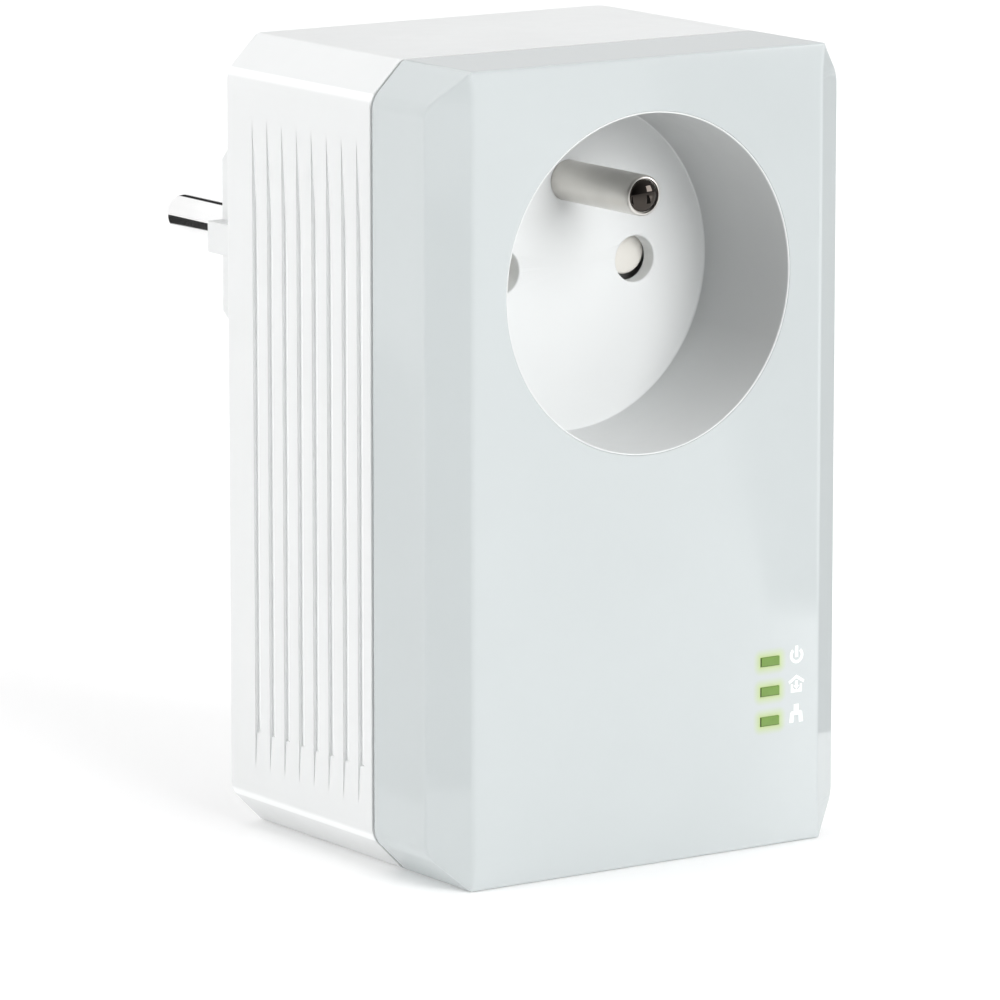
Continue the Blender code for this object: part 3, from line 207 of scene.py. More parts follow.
# ---- surfaces

def grid_faces(rows, columns, closed):
    """Quads of a grid of points, numbered row by row; closed joins the last column to the first."""
    steps = columns if closed else columns - 1
    first, across = np.meshgrid(np.arange(rows - 1), np.arange(steps), indexing="ij")
    following = (across + 1) % columns
    quads = (first * columns + across, first * columns + following,
             (first + 1) * columns + following, (first + 1) * columns + across)
    return np.stack(quads, axis=-1).reshape(-1, 4)


def added(name, data):
    """A new object of the data, in the scene."""
    made = bpy.data.objects.new(name, data)
    bpy.context.scene.collection.objects.link(made)
    return made


def mesh_from(name, work):
    """A mesh that holds the work, which is freed."""
    mesh = bpy.data.meshes.new(name)
    work.to_mesh(mesh)
    work.free()
    return mesh


def removed(piece):
    """Deletes a helper and its mesh."""
    mesh = piece.data
    bpy.data.objects.remove(piece)
    bpy.data.meshes.remove(mesh)


def piece_of(name, points, faces, look=None):
    """An object of the points and faces, its doubles merged and its flat faces kept flat."""
    raw = bpy.data.meshes.new("raw")
    raw.from_pydata(points, [], faces)
    work = bmesh.new()
    work.from_mesh(raw)
    bpy.data.meshes.remove(raw)
    bmesh.ops.remove_doubles(work, verts=work.verts, dist=1e-6)
    bmesh.ops.dissolve_degenerate(work, edges=work.edges, dist=1e-7)
    bmesh.ops.recalc_face_normals(work, faces=work.faces)
    made = added(name, mesh_from(name, work))
    made.data.shade_smooth()
    made.data.set_sharp_from_angle(angle=math.radians(35.0))
    if look is not None:
        made.data.materials.append(look)
    return made


def lofted(name, rings, look=None):
    """A closed piece through rings of points, an array of rings by points by 3, with a flat end at each side.

    Point (i, j) is the j-th point of the i-th ring, and each ring joins the next point by point."""
    rows, columns = rings.shape[:2]
    faces = grid_faces(rows, columns, True).tolist()
    faces.append(list(range(columns))[::-1])
    faces.append(list(range((rows - 1) * columns, rows * columns)))
    return piece_of(name, rings.reshape(-1, 3).tolist(), faces, look)


def turned(name, profile, centre, axis="Y", look=None, sides=96):
    """A turned piece: each (level, radius) of the profile is carried round the axis through the centre.

    The point at turn t of a ring is the centre plus the radius times (cos t, sin t), at the ring's level."""
    level, radius = np.array(profile, float).T
    turn = 2 * np.pi * np.arange(sides) / sides
    across = centre[0] + radius[:, None] * np.cos(turn)
    up = centre[1] + radius[:, None] * np.sin(turn)
    along = np.repeat(level[:, None], sides, axis=1)
    order = {"Y": (across, along, up), "Z": (across, up, along)}[axis]
    return lofted(name, np.stack(order, axis=-1), look)


def block(name, low, high):
    """A closed box between two corners, as two square rings."""
    x, y, z = ((low[i], high[i]) for i in range(3))
    ring = [(x[0], y[0]), (x[1], y[0]), (x[1], y[1]), (x[0], y[1])]
    return lofted(name, np.array([[(a, b, level) for a, b in ring] for level in z], float))


def eased(corners, reach, steps):
    """Rounds the corners of many polygons at once.

    Each corner becomes a quadratic curve from reach before it to reach after it, and reach is held under
    45% of the shorter side beside it. corners is polygons by corners by 2, reach is one number a corner."""
    before = np.roll(corners, 1, axis=1) - corners
    after = np.roll(corners, -1, axis=1) - corners
    length_before = np.linalg.norm(before, axis=2)
    length_after = np.linalg.norm(after, axis=2)
    held = np.minimum(reach, 0.45 * np.minimum(length_before, length_after))
    start = corners + before * (held / (length_before + 1e-12))[..., None]
    end = corners + after * (held / (length_after + 1e-12))[..., None]
    share = np.linspace(0, 1, steps)[None, None, :, None]
    curve = ((1 - share) ** 2 * start[:, :, None] + 2 * share * (1 - share) * corners[:, :, None]
             + share ** 2 * end[:, :, None])
    return curve.reshape(len(corners), -1, 2)


def corner_cut(inset):
    """Length of the 45 degree cut and radius of its soft end, for an outline with an inset."""
    return CORNER - inset * (2 - math.sqrt(2)), max(SOFT_RADIUS - inset, 0.5 * MM)


def half_width(level, inset=0.0):
    """Half the case's width at each height: a 45 degree cut at both ends, an arc, then a straight side."""
    side = HALF_WIDTH - inset
    cut, soft = corner_cut(inset)
    tangent = soft * math.tan(math.pi / 8)
    from_end = np.minimum(level - inset, HEIGHT - inset - level)
    on_arc = np.clip(cut + tangent - from_end, 0.0, soft)
    arc = side - soft + np.sqrt(soft ** 2 - on_arc ** 2)
    straight_cut = side - cut + from_end
    return np.where(from_end < cut - tangent / math.sqrt(2), straight_cut, arc)


def case_levels(inset, edge, extra=()):
    """Heights and local insets of the case's horizontal sections.

    The two flat ends are rounded: at an angle t, a section lies edge times (1 - sin t) in from the end,
    and is edge times (1 - cos t) smaller all round."""
    turn = np.linspace(math.pi / 2, 0.0, 5)
    ends = edge * (1 - np.sin(turn))
    smaller = edge * (1 - np.cos(turn))
    cut, soft = corner_cut(inset)
    bend = cut + soft * math.tan(math.pi / 8) - soft * np.sin(np.linspace(math.pi / 4, 0.0, 12))
    low = np.concatenate([ends, bend])
    inner = np.concatenate([low + inset, np.array(extra, float), HEIGHT - inset - low])
    shrink = np.concatenate([smaller, 0 * bend, np.zeros(len(extra)), smaller, 0 * bend])
    order = np.argsort(inner, kind="stable")
    return inner[order], shrink[order]


def upright(name, corners, level, reach, steps):
    """A piece whose horizontal sections are rounded polygons, one at each height."""
    outline = eased(corners, reach, steps)
    height = np.repeat(level[:, None, None], outline.shape[1], axis=1)
    return lofted(name, np.concatenate([outline, height], axis=2))


def mirrored(right):
    """The corners of a closed section, from those of its right half, which run from front to back."""
    left = right[:, ::-1] * np.array([-1.0, 1.0])
    return np.concatenate([right, left], axis=1)


def plain_case(name, inset, front, back):
    """The case's outline with an inset, carried from front to back."""
    level, _ = case_levels(inset, 0.0)
    side = half_width(level, inset)
    right = np.stack([np.stack([side, np.full_like(side, y)], axis=1) for y in (front, back)], axis=1)
    return upright(name, mirrored(right), level, np.zeros(4), 1)


# ---- joining and cutting

def settle(piece):
    """Works the piece's modifiers into its mesh."""
    graph = bpy.context.evaluated_depsgraph_get()
    mesh = bpy.data.meshes.new_from_object(piece.evaluated_get(graph))
    old = piece.data
    piece.modifiers.clear()
    piece.data = mesh
    mesh.name = piece.name
    bpy.data.meshes.remove(old)
    return piece


def worked(piece, *steps):
    """Cuts or joins helpers, each (operation, helper), and removes them afterwards."""
    for operation, helper in steps:
        change = piece.modifiers.new(helper.name, "BOOLEAN")
        change.operation = operation
        change.solver = "EXACT"
        change.object = helper
        settle(piece)
        removed(helper)
    return piece


def joined(name, pieces):
    """One object that holds all the pieces' meshes."""
    work = bmesh.new()
    for piece in pieces:
        work.from_mesh(piece.data)
        removed(piece)
    return added(name, mesh_from(name, work))


def shaded(piece, look, angle=40.0):
    """Gives the piece one finish, smooth faces, and normals that keep large flats flat."""
    piece.data.materials.clear()
    piece.data.materials.append(look)
    piece.data.shade_smooth()
    piece.data.set_sharp_from_angle(angle=math.radians(angle))
    weigh = piece.modifiers.new("flat faces", "WEIGHTED_NORMAL")
    weigh.keep_sharp = True
    weigh.weight = 100
    return piece


def softened(node, name, look, width, segments=3, angle=40.0):
    """A merged copy of a frame node with its edges rounded."""
    work = bmesh.new()
    work.from_mesh(frame["nodes"][node].data)
    bmesh.ops.remove_doubles(work, verts=work.verts, dist=2e-6)
    bmesh.ops.dissolve_limit(work, angle_limit=math.radians(1.0), verts=work.verts, edges=work.edges)
    made = added(name, mesh_from(name, work))
    edge = made.modifiers.new("edges", "BEVEL")
    edge.width = width
    edge.segments = segments
    edge.limit_method = "ANGLE"
    edge.angle_limit = math.radians(angle)
    settle(made)
    shaded(made, look, angle)
    return place(made, body_of(frame["nodes"][node])[0], [node])


def place(piece, body, nodes=()):
    """The piece rides on a body and stands for nodes, which it hides."""
    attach(piece, body)
    if nodes:
        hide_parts(*nodes)
    return piece


def slot_of(node):
    """The record's material slot of a node."""
    slots = {part["node"]: part["material_slot"] for part in frame["record"]["subparts"]}
    return slots[node]


# ---- finishes

# How a pattern is stretched along the axes
EVEN = (1.0, 1.0, 1.0)
LATHE = (1.0, 14.0, 1.0)
DRAWN = (1.0, 0.05, 1.0)
WOUND = (1.0, 12.0, 1.0)


class Finish:
    """A material with its node tree, and short ways to add and join nodes."""

    def __init__(self, name):
        self.made = bpy.data.materials.new(name)
        self.made.use_nodes = True
        self.tree = self.made.node_tree
        self.shader = self.tree.nodes["Principled BSDF"]
        self.place = self.node("ShaderNodeTexCoord").outputs["Object"]

    def node(self, kind, **settings):
        """A node with the given settings."""
        made = self.tree.nodes.new(kind)
        for key, value in settings.items():
            setattr(made, key, value)
        return made

    def join(self, source, target):
        """Links an output to an input."""
        self.tree.links.new(source, target)

    def set(self, **values):
        """Sets values on the shader's own sockets; a name's underscores stand for spaces."""
        for key, value in values.items():
            self.shader.inputs[key.replace("_", " ")].default_value = value

    def noise(self, scale, detail, stretch=EVEN):
        """A noise pattern with so many cells a metre, stretched along the axes."""
        turn = self.node("ShaderNodeMapping")
        turn.inputs["Scale"].default_value = stretch
        self.join(self.place, turn.inputs["Vector"])
        pattern = self.node("ShaderNodeTexNoise")
        pattern.inputs["Scale"].default_value = scale
        pattern.inputs["Detail"].default_value = detail
        self.join(turn.outputs["Vector"], pattern.inputs["Vector"])
        return pattern.outputs["Fac"]

    def spread(self, source, low, high, start=0.3, end=0.7):
        """The source's range from start to end, mapped to low and high."""
        change = self.node("ShaderNodeMapRange")
        for key, value in (("From Min", start), ("From Max", end), ("To Min", low), ("To Max", high)):
            change.inputs[key].default_value = value
        self.join(source, change.inputs["Value"])
        return change.outputs["Result"]

    def blend(self, share, first, second):
        """A mix of two colours, each a colour or an output."""
        mix = self.node("ShaderNodeMix", data_type="RGBA")
        self.join(share, mix.inputs[0])
        for socket, value in ((mix.inputs[6], first), (mix.inputs[7], second)):
            if isinstance(value, bpy.types.NodeSocket):
                self.join(value, socket)
            else:
                socket.default_value = (*value, 1.0)
        return mix.outputs[2]

    def maths(self, operation, first, second=0.0):
        """One step of arithmetic on numbers or outputs."""
        step = self.node("ShaderNodeMath", operation=operation)
        for socket, value in zip(step.inputs, (first, second)):
            if isinstance(value, bpy.types.NodeSocket):
                self.join(value, socket)
            else:
                socket.default_value = value
        return step.outputs["Value"]

    def axes(self):
        """The place's X, Y and Z."""
        split = self.node("ShaderNodeSeparateXYZ")
        self.join(self.place, split.inputs[0])
        return split.outputs

    def clouded(self, scale, darker, paler):
        """A cloudy mix of two colours."""
        return self.blend(self.spread(self.noise(scale, 2.0), 0.0, 1.0), darker, paler)

    def painted(self, colour):
        """Makes an output the base colour."""
        self.join(colour, self.shader.inputs["Base Color"])

    def tinted(self, share, colour):
        """Mixes a share of another colour into the base colour."""
        plain = self.shader.inputs["Base Color"].links[0].from_socket
        self.painted(self.blend(share, plain, colour))

    def relief(self, source, distance):
        """Bump from the source, distance deep."""
        bump = self.node("ShaderNodeBump")
        bump.inputs["Distance"].default_value = distance
        bump.inputs["Strength"].default_value = 1.0
        self.join(source, bump.inputs["Height"])
        self.join(bump.outputs["Normal"], self.shader.inputs["Normal"])


def shade(colour, factor):
    """The colour made darker or lighter by a factor."""
    return tuple(min(1.0, part * factor) for part in colour)


def moulded(name, colour, roughness, grain=2600.0, depth=0.004, mottle=0.015):
    """Moulded plastic: a faint cloudiness in its colour, uneven gloss, and a fine grain depth mm deep."""
    finish = Finish(name)
    finish.painted(finish.clouded(55.0, shade(colour, 1 - mottle), shade(colour, 1 + mottle)))
    gloss = finish.spread(finish.noise(420.0, 4.0), roughness * 0.88, roughness * 1.12)
    finish.join(gloss, finish.shader.inputs["Roughness"])
    finish.relief(finish.noise(grain, 3.0), depth * MM)
    return finish


def metal(name, colour, roughness, stretch=EVEN, scale=900.0, depth=0.002, wear=0.25):
    """Metal: tool marks depth mm deep, drawn out along one direction, and gloss that varies with them."""
    finish = Finish(name)
    marks = finish.noise(scale, 4.0, stretch)
    finish.painted(finish.clouded(120.0, shade(colour, 0.93), shade(colour, 1.04)))
    gloss = finish.spread(marks, roughness * (1 - wear), roughness * (1 + wear))
    finish.join(gloss, finish.shader.inputs["Roughness"])
    finish.relief(marks, depth * MM)
    finish.set(Metallic=1.0)
    return finish.made


def cover_finish(colour):
    """Glossy pale cover: very slight waviness, and faint green light from the windows painted into the
    plastic round each window.
    """
    finish = moulded("cover_gloss", colour, 0.06, 160.0, 0.0015, 0.01)
    finish.set(IOR=1.5)
    low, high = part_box("light_pipe_power")
    bottom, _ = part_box("light_pipe_network")
    pitch = (low.z - bottom.z) / 2
    half_x, half_z = (high.x - low.x) / 2, (high.z - low.z) / 2
    across, along, up = finish.axes()
    away_x = finish.maths("ABSOLUTE", finish.maths("SUBTRACT", across, (low.x + high.x) / 2))
    away_x = finish.maths("MAXIMUM", finish.maths("SUBTRACT", away_x, half_x), 0.0)
    from_middle = finish.maths("SUBTRACT", up, (low.z + high.z) / 2 - pitch)
    wrapped = finish.maths("WRAP", from_middle, pitch / 2)
    wrapped.node.inputs[2].default_value = -pitch / 2
    held = finish.maths("MINIMUM", finish.maths("MAXIMUM", from_middle, -1.5 * pitch), 1.5 * pitch)
    beyond = finish.maths("ABSOLUTE", finish.maths("SUBTRACT", from_middle, held))
    away_z = finish.maths("SUBTRACT", finish.maths("ABSOLUTE", wrapped), half_z)
    away_z = finish.maths("ADD", finish.maths("MAXIMUM", away_z, 0.0), finish.maths("MULTIPLY", beyond, 4.0))
    squares = [finish.maths("MULTIPLY", away, away) for away in (away_x, away_z)]
    distance = finish.maths("SQRT", finish.maths("ADD", *squares))
    # Painted light: green from the windows is mixed into the base colour, fading with distance from each
    # window.
    painted_glow = finish.maths("POWER", finish.spread(distance, 1.0, 0.0, 0.0, PAINTED_GLOW_REACH), 1.2)
    near_front = finish.spread(along, 1.0, 0.0, FRONT_Y + 0.5 * MM, FRONT_Y + 1.0 * MM)
    painted_glow = finish.maths("MULTIPLY", finish.maths("MULTIPLY", painted_glow, near_front), 0.85)
    finish.tinted(painted_glow, PAINTED_GLOW_COLOUR)
    return finish.made


def housing_finish(colour):
    """Matte shell plastic, with painted light inside the side grooves, which makes them a little paler."""
    finish = moulded("housing_matte", colour, 0.5, 2400.0)
    # Painted light: in the grooves, from 0.08 to 0.6 mm in from each side, the colour is mixed towards a
    # paler shade.
    across, _, _ = finish.axes()
    from_side = finish.maths("SUBTRACT", HALF_WIDTH, finish.maths("ABSOLUTE", across))
    inside = finish.maths("MULTIPLY", finish.spread(from_side, 0.0, 1.0, 0.08 * MM, 0.2 * MM),
                          finish.spread(from_side, 1.0, 0.0, 0.5 * MM, 0.6 * MM))
    finish.tinted(inside, shade(colour, 1.2))
    return finish.made


def well_finish(colour):
    """The cup's satin plastic, with painted shade: a little darker down the wall than on the floor, the rim
    and the lower wall.
    """
    finish = moulded("well_satin", colour, 0.4, 3000.0, 0.0006, 0.008)
    _, along, up = finish.axes()
    floor_y = FRONT_Y + WELL_DEPTH
    # Painted shade: the wall is mixed towards a darker colour, except on the floor, at the rim and low on the
    # wall, which is left lighter as painted light.
    floor = finish.spread(along, 0.0, 1.0, floor_y - 0.3 * MM, floor_y - 0.1 * MM)
    rim = finish.spread(along, 1.0, 0.0, FRONT_Y + 0.1 * MM, FRONT_Y + 0.3 * MM)
    base = finish.spread(up, 0.8, 0.0, SOCKET_Z - WELL_RADIUS, SOCKET_Z - 0.4 * WELL_RADIUS)
    plain = finish.maths("MAXIMUM", finish.maths("MAXIMUM", floor, rim), base)
    finish.tinted(finish.maths("SUBTRACT", 1.0, plain), shade(colour, 0.68))
    return finish.made


def lamp_finish(colour):
    """A lit window: even green light, with painted shade along its left and lower edges."""
    finish = Finish("lamp_window")
    tint = finish.clouded(900.0, shade(colour, 0.95), shade(colour, 1.05))
    across, _, up = finish.axes()
    low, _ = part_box("light_pipe_home")
    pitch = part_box("light_pipe_power")[0].z - low.z
    height = finish.maths("WRAP", finish.maths("SUBTRACT", up, low.z), pitch / 2)
    height.node.inputs[2].default_value = -pitch / 2
    # Painted shade: the window's left side and a strip along its lower edge are darker, in its colour and its
    # emission.
    left = finish.spread(across, 1.0, 0.0, low.x + 0.02 * MM, low.x + 0.08 * MM)
    under = finish.spread(height, 0.8, 0.0, 0.08 * MM, 0.13 * MM)
    side = finish.maths("MAXIMUM", left, under)
    tint = finish.blend(side, tint, shade(colour, 0.35))
    finish.painted(tint)
    finish.join(tint, finish.shader.inputs["Emission Color"])
    finish.set(Roughness=0.25, Emission_Strength=0.2)
    return finish.made


# Plastics: the values that moulded takes after the name
PLASTICS = {
    "holder_white": ((0.80, 0.81, 0.80), 0.5),
    "board_green": ((0.02, 0.14, 0.06), 0.45, 900.0, 0.01, 0.15),
    "black_moulding": ((0.022, 0.022, 0.024), 0.42, 1600.0, 0.006, 0.1),
    "plunger_cream": ((0.72, 0.69, 0.60), 0.45),
    "ferrite": ((0.055, 0.055, 0.06), 0.7, 1400.0, 0.02, 0.15),
    "yellow_tape": ((0.76, 0.58, 0.10), 0.35, 300.0, 0.02, 0.05),
    "blue_epoxy": ((0.04, 0.14, 0.42), 0.25, 500.0, 0.02, 0.08),
    "fuse_glass": ((0.70, 0.72, 0.70), 0.08, 300.0, 0.001),
    "film_sheet": ((0.72, 0.71, 0.64), 0.5, 700.0, 0.01),
    "wire_brown": ((0.16, 0.07, 0.03), 0.4),
    "wire_blue": ((0.03, 0.10, 0.42), 0.4),
    "label_paper": ((0.70, 0.71, 0.71), 0.6, 3200.0, 0.01, 0.02),
    "print_white": ((0.93, 0.94, 0.94), 0.4, 2400.0, 0.002),
}

# Metals: the values that metal takes after the name
METALS = {
    "nickel_satin": ((0.68, 0.66, 0.625), 0.32, LATHE, 300.0, 0.0008, 0.12),
    # nickel_polished is near black: a painted dark reflection, for the dome of the earth pin
    "nickel_polished": ((0.06, 0.052, 0.046), 0.05, EVEN, 900.0, 0.0),
    "pin_bright": ((0.86, 0.86, 0.86), 0.09, DRAWN, 900.0, 0.0006),
    "brass_strip": ((0.72, 0.53, 0.25), 0.30, DRAWN),
    "zinc_steel": ((0.60, 0.61, 0.63), 0.34),
    "copper_wire": ((0.62, 0.28, 0.11), 0.32, WOUND, 700.0, 0.03),
    "aluminium_can": ((0.72, 0.72, 0.74), 0.28, DRAWN),
    "heat_black": ((0.05, 0.05, 0.055), 0.4, DRAWN),
}

FINISHES = {}


def finishes():
    """Every finish by the name of its slot, made once."""
    if FINISHES:
        return FINISHES
    colours = bpy.context.scene.adapter_colours
    plastics = {
        "plug_matte": (shade(colours.housing, 0.99), 0.5, 2200.0),
        "shutter_cream": (colours.shutter, 0.42, 1800.0),
        **PLASTICS}
    made = {name: moulded(name, *values) for name, values in plastics.items()}
    made["fuse_glass"].set(Transmission_Weight=0.7)
    FINISHES.update({name: finish.made for name, finish in made.items()})
    FINISHES.update({name: metal(name, *values) for name, values in METALS.items()})
    FINISHES.update({
        "cover_gloss": cover_finish(colours.cover),
        "housing_matte": housing_finish(colours.housing),
        "well_satin": well_finish(colours.well),
        "lamp_green": lamp_finish((0.30, 0.75, 0.20)),
        "pipe_green": lamp_finish(colours.lamp),
    })
    return FINISHES


# ---- shells

def at_screws(name, profile, sides):
    """The profile, turned round the axis of each case screw."""
    middles = [sum(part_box("housing_screw_%d" % number), Vector()) / 2 for number in range(1, 5)]
    return [turned(name, profile, (middle.x, middle.z), sides=sides) for middle in middles]


def window_boxes():
    """The corners of each light window's hole, which reaches through the front wall."""
    for window in WINDOWS:
        low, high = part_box("light_pipe_" + window)
        yield ((low.x - RIM_GAP, FRONT_Y - WALL, low.z - RIM_GAP),
               (high.x + RIM_GAP, FRONT_Y + 2 * WALL, high.z + RIM_GAP))


def cover_body(name, inset, front, back, sizes=None):
    """The cover as horizontal sections: back corners, side corners and front face corners.

    The front face ends EDGE_WIDTH from the side, and widens by a squared curve within face_flare of each
    end, until it meets the corner cut; outside it the surface falls back in a straight slope."""
    edge = sizes.edge_round if sizes else 0.0
    flare = sizes.face_flare if sizes else 0.0
    extra = list(np.linspace(0.15, 1.0, 8) * flare) if sizes else []
    extra += [HEIGHT - level for level in extra]
    level, smaller = case_levels(inset, edge, extra)
    side = half_width(level, inset) - smaller
    slope = EDGE_DEPTH / EDGE_WIDTH
    shift = inset * (math.sqrt(1 + slope * slope) - 1) / slope
    face = np.full_like(side, HALF_WIDTH - EDGE_WIDTH - shift)
    if sizes:
        from_end = np.minimum(level, HEIGHT - level)
        near = np.clip(1 - from_end / flare, 0.0, 1.0)
        widest = HALF_WIDTH - CORNER
        face = face + (widest - face) * near ** 2
    face = np.minimum(face, side)
    fall = slope * (side - face)
    right = np.stack([
        np.stack([face, front + smaller], axis=1),
        np.stack([side, front + smaller + fall], axis=1),
        np.stack([side, np.full_like(side, back)], axis=1)], axis=1)
    reach = np.array([1.4, 1.0, 1.3, 1.3, 1.0, 1.4]) * edge
    return upright(name, mirrored(right), level, reach, 5 if sizes else 1)


def make_cover(sizes, look):
    """The front shell with its posts, socket opening and light windows."""
    cover = cover_body("cover_shell", 0.0, FRONT_Y, SEAM_Y, sizes)
    hollow = cover_body("cover_hollow", WALL, FRONT_Y + WALL, SEAM_Y + WALL)
    post_end = BACK_Y - WALL - BOSS_LENGTH - GAP
    posts = at_screws("post", [(FRONT_Y + WALL / 2, POST_OUTER), (post_end, POST_OUTER)], 48)
    opening = WELL_RADIUS + WELL_LIP + RIM_GAP
    mouth = [(FRONT_Y - WALL, opening), (FRONT_Y + 2 * WALL, opening)]
    cuts = [turned("opening", mouth, (0.0, SOCKET_Z), sides=192)]
    cuts += [block("window", low, high) for low, high in window_boxes()]
    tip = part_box("housing_screw_1")[0].y - GAP
    cuts += at_screws("bore", [(tip, SHAFT_HOLE), (post_end + WALL, SHAFT_HOLE)], 32)
    worked(cover, ("DIFFERENCE", hollow), ("UNION", joined("posts", posts)),
           ("DIFFERENCE", joined("cuts", cuts)))
    return place(shaded(cover, look), "case", ["front_cover"])


def groove_shape(level, sizes):
    """Width and depth of a side groove at each height.

    From the hairline top the width grows evenly to the full width, keeps it down to a square step, and goes
    on as a hairline that runs out; the depth follows the width until it is full."""
    full, hair = sizes.groove_width, 0.34 * sizes.groove_width
    upper = np.clip((sizes.groove_top - level) / (sizes.groove_top - sizes.groove_full), 0.0, 1.0) * full
    lower = np.clip((level - sizes.groove_end) / (sizes.groove_step - sizes.groove_end), 0.0, 1.0) * hair
    width = np.where(level > sizes.groove_step, upper, lower)
    depth = sizes.groove_depth * np.clip(width / hair, 0.0, 1.0)
    return width, depth


def housing_body(sizes):
    """The wall-side shell as horizontal sections, with the grooves cut into both sides of each section."""
    step = sizes.groove_step
    extra = [sizes.groove_end, 9.0 * MM, 10.5 * MM, step, step + 0.12 * MM, sizes.groove_full]
    extra += list(np.linspace(sizes.groove_full, sizes.groove_top, 9)[1:])
    extra += list(np.linspace(20.0, 60.0, 5) * MM)
    level, smaller = case_levels(0.0, sizes.edge_round, extra)
    side = half_width(level) - smaller
    width, depth = groove_shape(level, sizes)
    front, back = SEAM_Y + SEAM_GAP, BACK_Y - smaller
    corners = [(side, np.full_like(side, front))]
    reach = [0.6 * sizes.edge_round]
    for i in reversed(range(GROOVE_COUNT)):
        rear = BACK_Y - GROOVE_FROM_BACK - i * GROOVE_PITCH
        near, far = rear - width, np.full_like(side, rear)
        corners += [(side, near), (side - depth, near), (side - depth, far), (side, far)]
        reach += [0.2 * MM, 0.04 * MM, 0.04 * MM, 0.05 * MM]
    corners.append((side, back))
    reach.append(1.6 * sizes.edge_round)
    right = np.stack([np.stack(corner, axis=1) for corner in corners], axis=1)
    return upright("housing_shell", mirrored(right), level, np.array(reach + reach[::-1]), 4)


def plug_outline(extra):
    """The plug body's round outline with two flat sides, grown by extra, as points (x, z)."""
    radius, flat = PLUG_RADIUS + extra, PLUG_FLAT + extra
    corner = math.acos(flat / radius)
    turn = np.linspace(corner, math.pi - corner, 72)
    upper = np.stack([radius * np.cos(turn), radius * np.sin(turn)], axis=1)
    return np.concatenate([upper, -upper])


def plug_rings(name, rings):
    """The plug's outline carried along Y through (level, extra) steps."""
    shape = []
    for level, extra in rings:
        outline = plug_outline(extra)
        shape.append(np.stack([outline[:, 0], np.full(len(outline), level), PLUG_Z + outline[:, 1]], axis=1))
    return lofted(name, np.array(shape))


def rib_blocks(extra, end):
    """The two guide ribs on the plug's flat sides, grown by extra."""
    half = RIB_HEIGHT / 2 + extra
    made = []
    for side in (-1, 1):
        low, high = sorted((side * (PLUG_FLAT - WALL), side * (RIB_REACH + extra)))
        made.append(block("rib", (low, BACK_Y - 2 * WALL, PLUG_Z - half), (high, end, PLUG_Z + half)))
    return joined("ribs", made)


def make_housing(sizes, look):
    """The wall-side shell with its tongue, screw bosses, and the holes for plug, jack, button and label."""
    housing = housing_body(sizes)
    lap = WALL + GAP
    tongue = plain_case("tongue", lap, SEAM_Y - TONGUE_LENGTH, SEAM_Y + WALL)
    hollow = plain_case("hollow", WALL, SEAM_Y + WALL, BACK_Y - WALL)
    mouth = plain_case("mouth", lap + TONGUE_WALL, SEAM_Y - 2 * TONGUE_LENGTH, SEAM_Y + 2 * WALL)
    boss_y = BACK_Y - WALL - BOSS_LENGTH
    bosses = at_screws("boss", [(boss_y, BOSS_OUTER), (BACK_Y - WALL / 2, BOSS_OUTER)], 48)
    seat = BACK_Y - HEAD_SEAT
    wide = HEAD_HOLE + CHAMFER
    profile = [(boss_y - WALL, SHAFT_HOLE), (seat, SHAFT_HOLE), (seat, HEAD_HOLE),
               (BACK_Y - CHAMFER, HEAD_HOLE), (BACK_Y, wide), (BACK_Y + WALL, wide)]
    cuts = at_screws("screw hole", profile, 48)
    cuts.append(plug_rings("plug hole", [(BACK_Y - 2 * WALL, GAP), (BACK_Y + WALL, GAP)]))
    low = (JACK_LOW.x - GAP, JACK_LOW.y - GAP, -WALL)
    cuts.append(block("jack hole", low, (JACK_HIGH.x + GAP, JACK_HIGH.y + GAP, 2 * WALL)))
    spot = ((BUTTON_LOW.x + BUTTON_HIGH.x) / 2, (BUTTON_LOW.y + BUTTON_HIGH.y) / 2)
    hole = BUTTON_RADIUS + GAP
    profile = [(-WALL, hole + CHAMFER), (0.0, hole + CHAMFER), (CHAMFER, hole), (2 * WALL, hole)]
    cuts.append(turned("button hole", profile, spot, "Z", sides=64))
    low = (LABEL_LOW.x - GAP, LABEL_LOW.y - GAP, LABEL_LOW.z - GAP)
    cuts.append(block("label pocket", low, (LABEL_HIGH.x + GAP, BACK_Y + WALL, LABEL_HIGH.z + GAP)))
    worked(housing, ("UNION", tongue), ("DIFFERENCE", hollow), ("DIFFERENCE", mouth),
           ("UNION", joined("bosses", bosses)), ("DIFFERENCE", joined("cuts", cuts)),
           ("DIFFERENCE", rib_blocks(GAP, BACK_Y + WALL)))
    return place(shaded(housing, look), "case", ["rear_housing"])


# ---- socket

def arc_profile(centre, radius, start, end, steps=6):
    """(level, radius) points of an arc about a centre, from one angle to another in degrees."""
    turn = np.radians(np.linspace(start, end, steps))
    return list(zip(centre[0] + radius * np.cos(turn), centre[1] + radius * np.sin(turn)))


